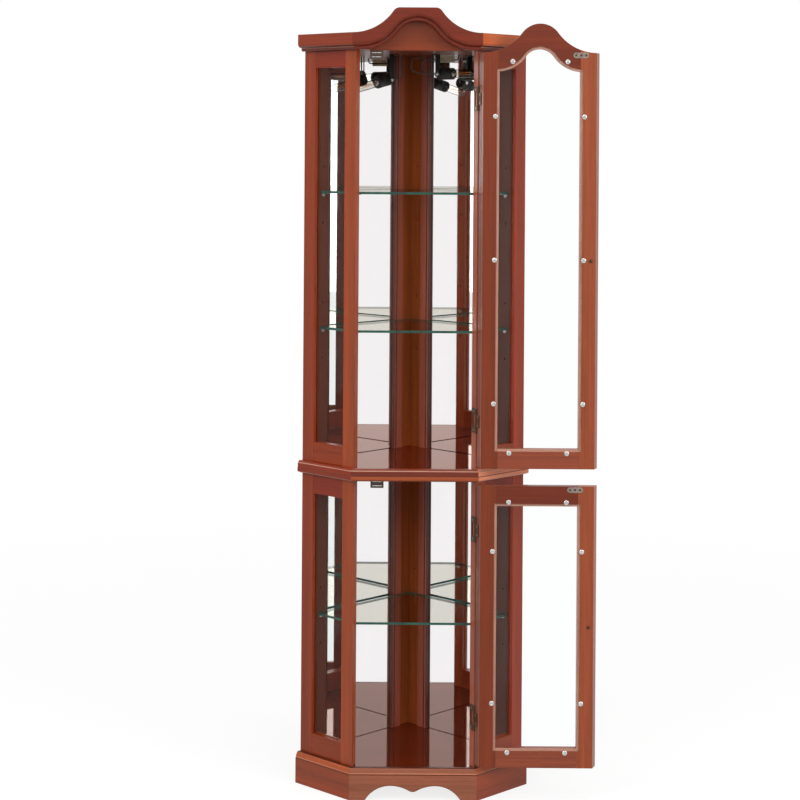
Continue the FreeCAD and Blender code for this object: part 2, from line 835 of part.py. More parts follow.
def build_posts():
    """Make the front stiles, the rear posts and the corner post, all the full height."""
    pane_back = "(pane_setback + pane_groove)"
    for hand, name in HANDS:
        stile = Piece(f"front_stile_{name}")
        section = [
            ("0", "0"),
            ("stile_width", "0"),
            ("stile_width", "pane_setback"),
            ("stile_width - pane_groove_depth", "pane_setback"),
            ("stile_width - pane_groove_depth", pane_back),
            ("stile_width", pane_back),
            ("stile_width", "frame_thickness"),
            (f"frame_thickness * {TILT}", "frame_thickness"),
        ]
        stile.pad("XY", [mirrored(section, hand)], CEILING)
        bore_pins(stile, f"{hand} * pin_side_place", "frame_thickness")
        at_side(stile, hand).keep()

        post = Piece(f"rear_post_{name}")
        section = [
            ("wall_length", "0"),
            ("wall_length", "stile_width"),
            ("wall_length - pane_setback", "stile_width"),
            ("wall_length - pane_setback", "stile_width - pane_groove_depth"),
            (f"wall_length - {pane_back}", "stile_width - pane_groove_depth"),
            (f"wall_length - {pane_back}", "stile_width"),
            ("wall_length - frame_thickness", "stile_width"),
            ("wall_length - frame_thickness", LINING),
            (POST_EDGE, LINING),
            (POST_EDGE, MIRROR_FACE),
            (f"{POST_EDGE} + post_lip", MIRROR_FACE),
            (f"{POST_EDGE} + post_lip", "0"),
        ]
        post.pad("XY", [mirrored(section, -hand)], CEILING)
        bore_pins(post, f"{-hand} * ({POST_EDGE} + post_face / 2)", LINING)
        at_wall(post, hand).keep()

    corner = Piece("corner_post")
    section = [
        ("0", "0"),
        ("0", "corner_leg"),
        (f"-{MIRROR_FACE}", "corner_leg"),
        (f"-{MIRROR_FACE}", MIRROR_FACE),
        ("-corner_leg", MIRROR_FACE),
        ("-corner_leg", "0"),
    ]
    corner.pad("XY", [section], CEILING)
    bore_pins(corner, "-pin_corner_place", MIRROR_FACE)
    at_wall(corner, 1).keep()


def build_walls():
    """Make the wall boards, the mirrors and the strips that hold the mirrors."""
    for hand, name in HANDS:
        board = rectangle(
            f"{-hand} * corner_leg",
            "0",
            f"{-hand} * ({POST_EDGE} + post_lip)",
            "board_thickness",
        )
        wall = Piece(f"wall_board_{name}").pad("XY", [board], CEILING)
        at_wall(wall, hand).keep()

    strips = []
    for section, floor, height in SECTIONS:
        mirrors = []
        for hand, name in HANDS:
            mirror = Piece(f"{section}_mirror_{name}")
            sheet = rectangle(
                f"{-hand} * (corner_leg + mirror_gap)",
                "board_thickness",
                f"{-hand} * ({POST_EDGE} + post_lip - mirror_gap)",
                MIRROR_FACE,
            )
            mirror.pad("XY", [sheet], height, at=floor)
            mirrors.append(at_wall(mirror, hand))
            strips.append(retainer(f"{section}_retainer_{name}", floor, height, hand))
        group(f"{section}_mirrors", mirrors)
    group("mirror_retainers", strips)


def retainer(label, floor, height, hand):
    """Make one mirror retainer, with rounded edges and a groove along it."""
    outer = "(corner_leg + retainer_lap)"
    inner = f"({outer} - retainer_width)"
    groove = f"({inner} + groove_place)"
    half = "retainer_groove / 2"
    section = [
        (inner, MIRROR_FACE),
        (outer, MIRROR_FACE),
        (outer, f"{LINING} - retainer_round"),
        (f"{outer} - retainer_round", LINING, "retainer_round", "left"),
        (f"{groove} + {half}", LINING),
        (f"{groove} - {half}", LINING, "(retainer_groove * bow_share)", "right"),
        (f"{inner} + retainer_round", LINING),
        (inner, f"{LINING} - retainer_round", "retainer_round", "left"),
    ]
    strip = Piece(label).pad("XY", [mirrored(section, -hand)], height, at=floor)
    return at_wall(strip, hand)


def build_side_frames():
    """Make the rails and the panes between the front stiles and the rear posts."""
    groove = ("pane_setback", "(pane_setback + pane_groove)")
    run = "(side_depth - 2 * stile_width)"
    for section, floor, height in SECTIONS:
        top = f"({floor} + {height})"
        low_rail, high_rail = f"{section}_bottom_rail", f"{section}_top_rail"
        rails = {
            f"{section}_side_bottom_rails": [
                ("0", floor),
                ("frame_thickness", floor),
                ("frame_thickness", f"{floor} + {low_rail}"),
                (groove[1], f"{floor} + {low_rail}"),
                (groove[1], f"{floor} + {low_rail} - pane_groove_depth"),
                (groove[0], f"{floor} + {low_rail} - pane_groove_depth"),
                (groove[0], f"{floor} + {low_rail}"),
                ("0", f"{floor} + {low_rail}"),
            ],
            f"{section}_side_top_rails": [
                ("0", top),
                ("0", f"{top} - {high_rail}"),
                (groove[0], f"{top} - {high_rail}"),
                (groove[0], f"{top} - {high_rail} + pane_groove_depth"),
                (groove[1], f"{top} - {high_rail} + pane_groove_depth"),
                (groove[1], f"{top} - {high_rail}"),
                ("frame_thickness", f"{top} - {high_rail}"),
                ("frame_thickness", top),
            ],
        }
        for label, profile in rails.items():
            pair = []
            for hand, name in HANDS:
                rail = Piece(f"{label}_{name}").pad("YZ", [profile], run, middle=True)
                pair.append(at_side_middle(rail, hand))
            group(label, pair)
        pane = rectangle(
            f"-({run} / 2 + pane_bite)",
            "pane_setback + (pane_groove - pane_thickness) / 2",
            f"{run} / 2 + pane_bite",
            "pane_setback + (pane_groove + pane_thickness) / 2",
        )
        panes = []
        for hand, name in HANDS:
            glass = Piece(f"{section}_side_pane_{name}")
            clear = f"{height} - {low_rail} - {high_rail} + 2 * pane_bite"
            glass.pad("XY", [pane], clear, at=f"{floor} + {low_rail} - pane_bite")
            panes.append(at_side_middle(glass, hand))
        group(f"{section}_side_panes", panes)


# Shelves ---------------------------------------------------------------------------------


def build_shelves():
    """Make the glass shelves and the clips under them."""
    side = "(frame_thickness + shelf_gap)"
    wall = f"({LINING} + shelf_gap)"
    half = f"({HALF_FRONT} + shelf_setback - {side} * sqrt(2))"
    outline = [
        (f"-{half}", f"{FRONT_Y} + shelf_setback"),
        (half, f"{FRONT_Y} + shelf_setback"),
        wall_point(f"wall_length - {side}", wall),
        ("0", f"-{wall} * sqrt(2)"),
        wall_point(f"wall_length - {side}", wall, -1),
    ]
    clips = []
    for name, floor, height in SHELVES:
        under = f"({floor} + {height} - shelf_thickness)"
        Piece(f"{name}_shelf").pad("XY", [outline], "shelf_thickness", at=under).keep()
        clips.append(at_wall(clip(f"{name}_clip_corner", "-pin_corner_place", MIRROR_FACE), 1, under))
        for hand, side_name in HANDS:
            place = f"{-hand} * ({POST_EDGE} + post_face / 2)"
            clips.append(at_wall(clip(f"{name}_clip_rear_{side_name}", place, LINING), hand, under))
            place = f"{hand} * pin_side_place"
            front = clip(f"{name}_clip_front_{side_name}", place, "frame_thickness")
            clips.append(at_side(front, hand, under))
    group("shelf_clips", clips)


def clip(label, x, face):
    """Make one shelf clip: an angle plate with a pin in a post; its top is at height 0."""
    plate = [
        (face, "0"),
        (face, "-clip_height"),
        (f"{face} + clip_plate", "-clip_height"),
        (f"{face} + clip_plate", "-clip_plate"),
        (f"{face} + clip_reach", "-clip_plate"),
        (f"{face} + clip_reach", "0"),
    ]
    piece = Piece(label).pad("YZ", [plate], "clip_width", at=f"{x} - clip_width / 2")
    pin = (x, "-clip_height / 2", "pin_radius - clip_clearance")
    return piece.pad("XZ", [pin], "pin_depth - 1", at=face)


# Doors -----------------------------------------------------------------------------------


def door_stile(label, hand, height, arch=None, low=None, high=None):
    """Make one door stile, mitred outside and rebated inside for the glass."""
    piece = Piece(label)
    section = [
        (SIGHT, "0"),
        (DOOR_HALF, "0"),
        (f"{DOOR_HALF} - frame_thickness * {TILT}", "frame_thickness"),
        (SIGHT, "frame_thickness"),
    ]
    top = f"{height} + stile_width" if arch else height
    piece.pad("XY", [mirrored(section, hand)], top)
    if arch:
        above = [
            (SIGHT, f"{top} + 1"),
            (SIGHT, arch.height_at(SIGHT)),
            ("arch_centre", height, arch.flank, "left"),
            (f"{DOOR_HALF} + 1", height),
            (f"{DOOR_HALF} + 1", f"{top} + 1"),
        ]
        piece.cut("XZ", [mirrored(above, hand)])
    rebate = rectangle(f"{SIGHT} - 1", low, REBATE, high)
    piece.cut("XZ", [mirrored(rebate, hand)], "rebate_depth", at="frame_thickness", reverse=True)
    return piece


def door_bottom_rail(label, height):
    """Make the bottom rail of a door, rebated along its top."""
    profile = [
        ("0", "0"),
        ("frame_thickness", "0"),
        ("frame_thickness", f"{height} - rebate_width"),
        (GLASS_FACE, f"{height} - rebate_width"),
        (GLASS_FACE, height),
        ("0", height),
    ]
    return Piece(label).pad("YZ", [profile], f"2 * {SIGHT}", middle=True)


def door_top_rail(label, door_height, height):
    """Make the straight top rail of the lower door, rebated along its foot."""
    under = f"({door_height} - {height})"
    profile = [
        ("0", door_height),
        ("0", under),
        (GLASS_FACE, under),
        (GLASS_FACE, f"{under} + rebate_width"),
        ("frame_thickness", f"{under} + rebate_width"),
        ("frame_thickness", door_height),
    ]
    return Piece(label).pad("YZ", [profile], f"2 * {SIGHT}", middle=True)


def arched_rail(label, arch, sight):
    """Make the arched top rail of the upper door, rebated along its arched foot."""
    rebate = sight.offset("rebate_width")
    piece = Piece(label)
    outline = sight.climb(SIGHT, 1) + arch.climb(SIGHT, -1)
    piece.pad("XZ", [outline], "frame_thickness", at="frame_thickness")
    foot = f"({sight.shoulder} - 1)"
    recess = [(f"-({SIGHT} + 1)", foot), (f"{SIGHT} + 1", foot)]
    recess += [(f"{SIGHT} + 1", rebate.height_at(f"({SIGHT} + 1)"))]
    recess += rebate.climb(f"({SIGHT} + 1)", -1)[1:]
    piece.cut("XZ", [recess], "rebate_depth", at="frame_thickness", reverse=True)
    return piece


def door_glass(label, outline):
    """Make the glass that lies in a door's rebate."""
    return Piece(label).pad("XZ", [outline], "door_glass", at=f"{GLASS_FACE} + door_glass")


def knob(label):
    """Make a turned knob in front of the door, with its bolt and bolt head in one."""
    length = "knob_length"
    neck = f"({length} - knob_radius - sqrt(knob_radius * knob_radius - knob_neck * knob_neck))"
    return Piece(label).turn(
        [
            ("0", f"-{length}"),
            ("knob_neck", f"-{neck}", "knob_radius", "left"),
            ("knob_neck", "-hinge_leaf"),
            ("knob_flange", "-hinge_leaf"),
            ("knob_flange", "0"),
            ("knob_bolt", "0"),
            ("knob_bolt", "frame_thickness"),
            ("bolt_head", "frame_thickness"),
            ("bolt_head", "frame_thickness + bolt_head_height"),
            ("0", "frame_thickness + bolt_head_height"),
        ],
        "Y",
    )


def button(label):
    """Make one round button that holds the door glass in its rebate."""
    piece = Piece(label)
    piece.pad("XZ", [("0", "0", "button_radius")], "button_height", at="button_height")
    return piece


def hinge_centres(height):
    """Return the heights of a door's two hinges above its foot."""
    return ("hinge_inset", f"({height} - hinge_inset)")


def jamb_leaf(label):
    """Make the fixed half of a hinge: a leaf with a window, two knuckles and the pin."""
    barrel_x, barrel_y = "-door_gap / 2", "-hinge_setback"
    half = "hinge_height / 2"
    window = "(hinge_knuckle / 2 + hinge_play)"
    piece = Piece(label)
    leaf = rectangle("-hinge_leaf", barrel_y, "0", "hinge_leaf_width")
    piece.pad("XY", [leaf], "hinge_height", at=f"-{half}")
    barrel = (barrel_x, barrel_y, "hinge_barrel")
    piece.pad("XY", [barrel], "hinge_height", at=f"-{half}")
    gap = rectangle("-(hinge_setback + 2 * hinge_barrel)", f"-{window}", "hinge_window", window)
    piece.cut("YZ", [gap])
    piece.pad("XY", [(barrel_x, barrel_y, "hinge_pin")], "hinge_height", at=f"-{half}")
    return piece


def door_leaf(label):
    """Make the moving half of a hinge: a short leaf with one bored knuckle."""
    barrel_x, barrel_y = "-door_gap / 2", "-hinge_setback"
    half = "hinge_knuckle / 2"
    piece = Piece(label)
    leaf = rectangle(
        "-door_gap", barrel_y, "-(door_gap - hinge_leaf)", "hinge_window - hinge_play"
    )
    piece.pad("XY", [leaf], "hinge_knuckle", at=f"-{half}")
    piece.pad("XY", [(barrel_x, barrel_y, "hinge_barrel")], "hinge_knuckle", at=f"-{half}")
    bore = (barrel_x, barrel_y, "hinge_pin + hinge_pin_clearance")
    piece.cut("XY", [bore])
    return piece


def build_door(section, foot, height, knob_height, arch=None, sight=None):
    """Make one door with its glass, its furniture and the moving halves of its hinges."""
    name = f"{section}_door"
    low = f"({section}_door_bottom_rail - rebate_width)"
    high = f"({height} - lower_door_top_rail + rebate_width)"
    if sight:
        high = sight.offset("rebate_width").shoulder
    stiles = {}
    for hand, which in ((-1, "free"), (1, "hinge")):
        stiles[which] = door_stile(f"{name}_{which}_stile", hand, height, arch, low, high)
    place = f"-({REBATE} + {DOOR_HALF}) / 2"
    stiles["free"].cut("XZ", [(place, knob_height, "knob_bolt + fit_clearance")])
    bottom = door_bottom_rail(f"{name}_bottom_rail", f"{section}_door_bottom_rail")
    if arch:
        top = arched_rail(f"{name}_top_rail", arch, sight)
        rebate = sight.offset("rebate_width - glass_gap")
        edge = f"({REBATE} - glass_gap)"
        outline = [(f"-{edge}", f"{low} + glass_gap"), (edge, f"{low} + glass_gap")]
        outline += rebate.climb(edge, -1)
    else:
        top = door_top_rail(f"{name}_top_rail", height, "lower_door_top_rail")
        outline = rectangle(
            f"-({REBATE} - glass_gap)",
            f"{low} + glass_gap",
            f"{REBATE} - glass_gap",
            f"{high} - glass_gap",
        )
    glass = door_glass(f"{name}_glass", outline)
    for piece in (*stiles.values(), bottom, top, glass):
        on_door(piece, "0", "0", foot).keep()

    on_door(knob(f"{name}_knob"), place, "0", f"{foot} + {knob_height}").keep()

    side = f"({REBATE} + button_offset)"
    rail = f"({REBATE} - button_rail_inset)"
    heights = [f"({low} + button_corner)", f"({high} - button_corner)"]
    if arch:
        heights.append(f"({low} + {high}) / 2")
        crown_height = rebate_height(sight, "button_crown_place")
        tops = [("button_crown_place", f"{crown_height} + button_crown_offset")]
    else:
        tops = [(rail, f"{high} + button_offset")]
    places = [(side, z) for z in heights] + tops + [(rail, f"{low} - button_offset")]
    buttons = []
    for number, (x, z) in enumerate(places, start=1):
        for hand, hand_name in HANDS:
            piece = button(f"{name}_button_{number}_{hand_name}")
            on_door(piece, f"{hand} * {x}", "frame_thickness", f"{foot} + {z}")
            buttons.append(piece)
    group(f"{name}_buttons", buttons)

    strike = Piece(f"{name}_strike")
    strike.pad("XZ", [oval("strike_length", "strike_width")], "strike_thickness", at="strike_thickness")
    place, drop = f"{section}_strike_place", f"{section}_strike_drop"
    rise = f"{arch.height_at(place)}" if arch else height
    on_door(strike, f"-{place}", "frame_thickness", f"{foot} + {rise} - {drop}").keep()

    leaves = []
    for number, centre in enumerate(hinge_centres(height), start=1):
        leaf = door_leaf(f"{name}_leaf_{number}")
        on_door(leaf, HALF_FRONT, "0", f"{foot} + {centre}")
        leaf.body.setExpression("Placement.Rotation.Angle", bind("door_angle + 22.5"))
        leaves.append(leaf)
    group(f"{name}_hinge_leaves", leaves)


def rebate_height(sight, x):
    """Return the height of the glass rebate's arch at a place on its hollow part."""
    return sight.offset("rebate_width").height_at(x)


def build_doors():
    """Make both doors, the fixed halves of their hinges and the catches."""
    build_door("lower", LOWER_DOOR_FOOT, LOWER_DOOR_HEIGHT, f"{LOWER_DOOR_HEIGHT} / 2")
    arch = Ogee("arch_centre", UPPER_DOOR_HEIGHT, "arch_rise", "arch_crown")
    sight = Ogee(REBATE, f"({UPPER_DOOR_HEIGHT} - sight_shoulder)", "sight_rise", "sight_crown")
    build_door("upper", UPPER_DOOR_FOOT, UPPER_DOOR_HEIGHT, f"{UPPER_DOOR_HEIGHT} / 2", arch, sight)

    leaves = []
    for section, foot, height in (
        ("lower", LOWER_DOOR_FOOT, LOWER_DOOR_HEIGHT),
        ("upper", UPPER_DOOR_FOOT, UPPER_DOOR_HEIGHT),
    ):
        for number, centre in enumerate(hinge_centres(height), start=1):
            leaf = jamb_leaf(f"{section}_jamb_leaf_{number}")
            leaves.append(leaf.place(HALF_FRONT, FRONT_Y, f"{foot} + {centre}", "22.5"))
    group("hinge_jamb_leaves", leaves)

    catches = []
    front = "(frame_thickness + strike_thickness + catch_gap)"
    for name, under in (("lower", WAIST_UNDER), ("upper", CEILING)):
        catch = Piece(f"{name}_catch")
        box = rectangle(
            f"-({name}_strike_place + catch_length / 2)",
            front,
            f"-({name}_strike_place - catch_length / 2)",
            f"{front} + catch_depth",
        )
        catch.pad("XY", [box], "catch_height", at=f"{under} - catch_height")
        catches.append(at_front(catch))
    group("door_catches", catches)


# Lamps -----------------------------------------------------------------------------------


def at_lamp(piece, hand, name, tilt="0"):
    """Set a piece on a lamp's pivot, with +x outwards along its wall and tipped down."""
    x, y = wall_point(f"{name}_lamp_place", "lamp_offset", hand)
    z = f"({CEILING} - {name}_lamp_drop)"
    yaw = f"({hand} * 45 - 90)"
    where = f"placement(vector({x}; {y}; {z}); rotation({yaw}; {tilt}; 0))"
    piece.body.setExpression("Placement", bind(where))
    return piece


def build_lamps():
    """Make the two lamps, the straps they turn on and the lead between them."""
    pin = "(socket_radius + strap_gap)"
    brackets = []
    for hand, name in HANDS:
        socket = Piece(f"{name}_lamp_socket")
        seat = "(bulb_neck + fit_clearance)"
        socket.turn(
            [
                ("-socket_tail", "0"),
                ("bulb_seat", "0"),
                ("bulb_seat", seat),
                ("socket_front", seat),
                ("socket_front", "socket_radius"),
                ("-socket_tail", "socket_radius"),
            ],
            "X",
        )
        socket.cut("XZ", [("0", "0", "lamp_pin + fit_clearance")])
        at_lamp(socket, hand, name, f"{name}_lamp_tilt").keep()

        bulb = Piece(f"{name}_lamp_bulb")
        collar = "(socket_front + fit_clearance)"
        bulb.turn(
            [
                ("bulb_seat", "0"),
                ("socket_front + bulb_reach", "0"),
                (
                    "socket_front + bulb_reach - bulb_radius",
                    "bulb_radius",
                    "bulb_radius",
                    "left",
                ),
                (collar, "bulb_radius"),
                (collar, "bulb_neck"),
                ("bulb_seat", "bulb_neck"),
            ],
            "X",
        )
        at_lamp(bulb, hand, name, f"{name}_lamp_tilt").keep()

        bracket = Piece(f"{name}_lamp_bracket")
        drop = f"{name}_lamp_drop"
        room = -hand
        strap = [
            (f"{room} * {pin}", "-strap_width / 2"),
            (f"{room} * ({pin} + strap_thickness)", "-strap_width / 2"),
            (f"{room} * ({pin} + strap_thickness)", f"{drop} - strap_thickness"),
            (f"{room} * ({pin} + strap_foot)", f"{drop} - strap_thickness"),
            (f"{room} * ({pin} + strap_foot)", drop),
            (f"{room} * {pin}", drop),
        ]
        bracket.pad("YZ", [strap], "strap_width", middle=True)
        shank = f"(2 * {pin} + strap_thickness / 2)"
        start = f"({pin} + strap_thickness / 2)" if room > 0 else pin
        bracket.pad("XZ", [("0", "0", "lamp_pin")], shank, at=start)
        head = f"-{pin}" if room > 0 else f"({pin} + strap_thickness)"
        bracket.pad("XZ", [("0", "0", "lamp_pin_head")], "strap_thickness", at=head)
        brackets.append(at_lamp(bracket, hand, name))
    group("lamp_brackets", brackets)
    build_lead()


def build_lead():
    """Make the three strands of the lamp lead and the blank tag on one of them."""
    right_x, right_y = wall_point("right_lamp_place - socket_tail", "lamp_offset")
    left_x, left_y = wall_point("left_lamp_place - socket_tail", "lamp_offset", -1)
    stop = "(lead_gap * sqrt(2))"
    right_end = f"({right_x} - {stop} - lead_inset)"
    low = "-(right_lamp_drop + lead_spacing / 2)"
    high = "-(right_lamp_drop - lead_spacing / 2)"
    left_low = "-(left_lamp_drop - socket_tail * sin(left_lamp_tilt))"
    outer = Piece("lead_outer_loop").cord(
        [
            ("lead_start", "0"),
            ("lead_start - lead_bend", "-lead_bend", "lead_bend", "right"),
            ("lead_outer + lead_outer_bend", "-lead_bend"),
            ("lead_outer", "-(lead_bend + lead_outer_bend)", "lead_outer_bend", "left"),
            ("lead_outer", f"{low} + lead_outer_bend"),
            ("lead_outer + lead_outer_bend", low, "lead_outer_bend", "left"),
            (right_end, low),
        ],
        "lead_radius",
    )
    inner = Piece("lead_inner_loop").cord(
        [
            ("lead_end", "0"),
            ("lead_end - lead_hang", "-lead_hang", "lead_hang", "right"),
            ("lead_inner + lead_inner_bend", "-lead_hang"),
            ("lead_inner", "-(lead_hang + lead_inner_bend)", "lead_inner_bend", "left"),
            ("lead_inner", f"{high} + lead_inner_bend"),
            ("lead_inner + lead_inner_bend", high, "lead_inner_bend", "left"),
            (right_end, high),
        ],
        "lead_radius",
    )
    left = Piece("lead_left").cord(
        [
            ("left_lead", "0"),
            ("left_lead", f"{left_low} + lead_inner_bend"),
            ("left_lead - lead_inner_bend", left_low, "lead_inner_bend", "right"),
            (f"{left_x} + {stop}", left_low),
        ],
        "lead_radius",
    )
    tag = Piece("lead_tag")
    sheet = rectangle("tag_left", "-tag_drop", "tag_right", "-lead_radius / 2")
    tag.pad("XZ", [sheet], "tag_thickness", at="-lead_radius")
    for piece in (outer, inner, tag):
        piece.place("0", f"{right_y} - lead_inset", CEILING)
    left.place("0", left_y, CEILING)
    group("lamp_lead", [outer, inner, left, tag])


# Check and export ------------------------------------------------------------------------


def check_document():
    """Stop if any object failed or any node is not a sound solid."""
    faults = []
    for part in DOC.Objects:
        if {"Invalid", "Error"} & set(part.State):
            faults.append(f"{part.Label}: {part.State}")
        if part.TypeId == "PartDesign::Pocket":
            before = part.BaseFeature.Shape.Volume
            if part.Shape.Volume >= before:
                faults.append(f"{part.Label} takes nothing away")
    for node in NODES:
        shape = node.Shape
        if shape.isNull() or not shape.isValid() or not shape.Solids:
            faults.append(f"{node.Label}: no valid solid")
    if faults:
        raise RuntimeError("; ".join(faults))


def main():
    """Build the cabinet and write one STEP file for each node."""
    fill_sheet()
    build_base()
    build_waist()
    build_crest()
    build_boards()
    build_posts()
    build_walls()
    build_side_frames()
    build_shelves()
    build_doors()
    build_lamps()
    DOC.recompute()
    check_document()
    os.makedirs("parts", exist_ok=True)
    for node in NODES:
        node.Shape.exportStep(f"parts/{node.Label}.step")
        print(f"{node.Label}: {len(node.Shape.Solids)} solids, {node.Shape.Volume / 1000:.1f} cm3")


main()
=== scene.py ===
"""Corner curio cabinet: finishes, hardware, lamps, lead, studio and camera.

Every length is in metres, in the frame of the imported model: the origin is the foot of the
cabinet's back corner, +Z is up and -Y is the front.
"""

from __future__ import annotations

import json
import logging
import math
from dataclasses import dataclass, field
from enum import Enum
from typing import Any, Iterable, Sequence

import bmesh
import bpy
from mathutils import Matrix, Vector

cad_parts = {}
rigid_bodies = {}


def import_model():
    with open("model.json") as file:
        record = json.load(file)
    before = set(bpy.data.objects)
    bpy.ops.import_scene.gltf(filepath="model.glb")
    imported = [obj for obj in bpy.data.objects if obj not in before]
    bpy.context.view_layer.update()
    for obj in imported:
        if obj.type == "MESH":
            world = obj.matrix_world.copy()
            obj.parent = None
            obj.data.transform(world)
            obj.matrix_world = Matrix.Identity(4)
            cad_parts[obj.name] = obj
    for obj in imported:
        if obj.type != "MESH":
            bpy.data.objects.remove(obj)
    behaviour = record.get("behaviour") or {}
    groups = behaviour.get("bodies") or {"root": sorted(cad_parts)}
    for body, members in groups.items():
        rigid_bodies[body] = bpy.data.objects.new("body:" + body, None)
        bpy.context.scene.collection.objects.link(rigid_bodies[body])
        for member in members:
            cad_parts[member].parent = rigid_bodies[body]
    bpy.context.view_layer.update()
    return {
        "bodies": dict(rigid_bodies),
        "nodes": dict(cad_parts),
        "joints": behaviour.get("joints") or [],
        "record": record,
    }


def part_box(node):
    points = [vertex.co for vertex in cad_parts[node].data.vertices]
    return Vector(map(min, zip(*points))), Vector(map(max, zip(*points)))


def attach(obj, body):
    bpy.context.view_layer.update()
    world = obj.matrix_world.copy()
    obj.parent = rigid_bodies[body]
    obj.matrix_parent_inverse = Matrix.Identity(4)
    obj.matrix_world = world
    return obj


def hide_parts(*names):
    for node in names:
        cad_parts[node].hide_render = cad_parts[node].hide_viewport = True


LOG = logging.getLogger("curio_cabinet")

Vec = tuple[float, float, float]
Colour = tuple[float, float, float]
Profile = Sequence[tuple[float, float]]
Socket = bpy.types.NodeSocket

MM = 0.001
HALF = math.sqrt(0.5)
WHITE = (1.0, 1.0, 1.0, 1.0)

# Angles in degrees: two faces within FLAT count as one, an edge over BEND is rounded on a node
# and one over RIM on an extruded form, and the shading of a form breaks over SHARP.
FLAT, BEND, RIM, SHARP = 0.6, 38.0, 35.0, 32.0
WELD_GAP = 0.01 * MM


def srgb(red: float, green: float, blue: float) -> tuple[float, float, float, float]:
    """Turn a display colour into the linear one that a shader takes.

    Args:
        red: red, from 0 to 255.
        green: green, from 0 to 255.
        blue: blue, from 0 to 255.

    Returns:
        The linear colour, with an alpha of 1.
    """
    parts = []
    for value in (red, green, blue):
        share = value / 255.0
        low = share <= 0.04045
        parts.append(share / 12.92 if low else ((share + 0.055) / 1.055) ** 2.4)
    return (parts[0], parts[1], parts[2], 1.0)


def shaded(colour: Colour, share: float) -> Colour:
    """Return a display colour made lighter or darker by a share."""
    return tuple(max(0.0, min(255.0, part * share)) for part in colour)


# Tones and bands -----------------------------------------------------------------


class Grain(Enum):
    """The way the grain of a board runs: along, across and through it."""

    UP = ((0.0, 0.0, 1.0), (1.0, 0.0, 0.0), (0.0, 1.0, 0.0))
    ACROSS = ((1.0, 0.0, 0.0), (0.0, 0.0, 1.0), (0.0, 1.0, 0.0))
    LEFT_SIDE = ((-HALF, HALF, 0.0), (0.0, 0.0, 1.0), (HALF, HALF, 0.0))
    RIGHT_SIDE = ((HALF, HALF, 0.0), (0.0, 0.0, 1.0), (HALF, -HALF, 0.0))


class Tone(Enum):
    """The stained wood's display colours, from the doors to the floors, with two lit copies
    painted lighter on the right side.
    """

    DOOR_FREE = (149.5, 72.1, 40.1)
    DOOR_HINGE = (120.0, 48.8, 20.7)
    DOOR_HEAD = (112.6, 43.0, 19.5)
    DOOR_FOOT = (143.6, 69.1, 45.2)
    FRONT_POST = (160.2, 70.2, 32.2)
    REAR_POST = (141.7, 55.1, 21.7)
    COLUMN = (140.0, 70.0, 32.0)
    STRIP = (144.0, 76.0, 58.0)
    CREST = (111.7, 36.8, 14.1)
    FRIEZE = (132.9, 54.7, 19.9)
    CORNICE = (142.7, 53.5, 22.8)
    # Painted light: the right cornice's tone, painted lighter where light falls on the right
    # side.
    BRIGHT_CORNICE = (195.9, 98.7, 50.7)
    RIGHT_POST = (162.0, 56.0, 22.0)
    # Painted light: the right waist moulding's tone, painted lighter where light falls on the
    # right side.
    RIGHT_WAIST = (238.0, 150.0, 114.0)
    WAIST = (134.0, 56.0, 31.0)
    WAIST_SIDE = (139.4, 48.4, 18.4)
    BASE = (147.8, 85.9, 61.5)
    BASE_SIDE = (145.6, 63.3, 31.8)
    RAIL = (142.2, 54.6, 16.4)
    DARK_RAIL = (130.9, 41.4, 14.7)
    BOARD = (117.4, 58.0, 37.3)
    FLOOR = (88.0, 31.0, 14.0)


class Section(Enum):
    """The cabinet's two cupboards."""

    UPPER = "upper"
    LOWER = "lower"


class Side(Enum):
    """The cabinet's two sides."""

    LEFT = "left"
    RIGHT = "right"


@dataclass(frozen=True)
class Band:
    """A line or band of another tone: painted highlights and painted shade on the wood, and
    dark lines along the mirrors' edges.

    Attributes:
        way: the direction of its level, for coordinates that are all taken as positive.
        level: its middle, in millimetres.
        half: half its width, in millimetres.
        tone: its display colour.
    """

    way: Vec
    level: float
    half: float
    tone: Colour


UP = (0.0, 0.0, 1.0)
FORWARD = (0.0, 1.0, 0.0)
WALLWARD = (HALF, HALF, 0.0)
INWARD = (-HALF, HALF, 0.0)
FRONT = (0.0, -1.0, 0.0)

# Painted highlight: a light line along the doors' inner lip, where it catches the light.
LIP_PAINTED_HIGHLIGHT = (Band(FORWARD, 400.5, 0.4, (190.0, 138.0, 120.0)),)
# Painted highlights and painted shade along the base moulding: a bright band (on the sides
# only) and light lines on its rounds, dark lines in its steps.
PLINTH_PAINTED_LIGHT = (
    Band(UP, 65.4, 5.8, (176.0, 84.0, 42.0)),
    Band(UP, 60.4, 0.8, (200.0, 126.0, 92.0)),
    Band(UP, 57.9, 1.0, (96.0, 44.0, 26.0)),
    Band(UP, 72.2, 1.0, (84.0, 34.0, 20.0)),
    Band(UP, 77.6, 0.6, (186.0, 122.0, 96.0)),
)
# Painted highlights and painted shade on the waist moulding's sides: light lines at its top and
# bottom rounds, a dark line between them.
SIDE_WAIST_PAINTED_LIGHT = (
    Band(UP, 746.4, 0.8, (190.0, 140.0, 122.0)),
    Band(UP, 735.0, 0.7, (112.0, 46.0, 28.0)),
    Band(UP, 724.4, 1.1, (214.0, 172.0, 152.0)),
)
# Painted light on the waist moulding's front: painted shade as a darker upper band and a dark
# line, and a lighter lower band with a painted highlight line at its top edge.
FRONT_WAIST_PAINTED_LIGHT = (
    Band(UP, 741.0, 5.4, (112.0, 44.0, 28.0)),
    Band(UP, 735.4, 0.7, (84.0, 34.0, 22.0)),
    Band(UP, 729.0, 5.4, (160.0, 76.0, 40.0)),
    Band(UP, 746.8, 0.8, (196.0, 150.0, 132.0)),
)
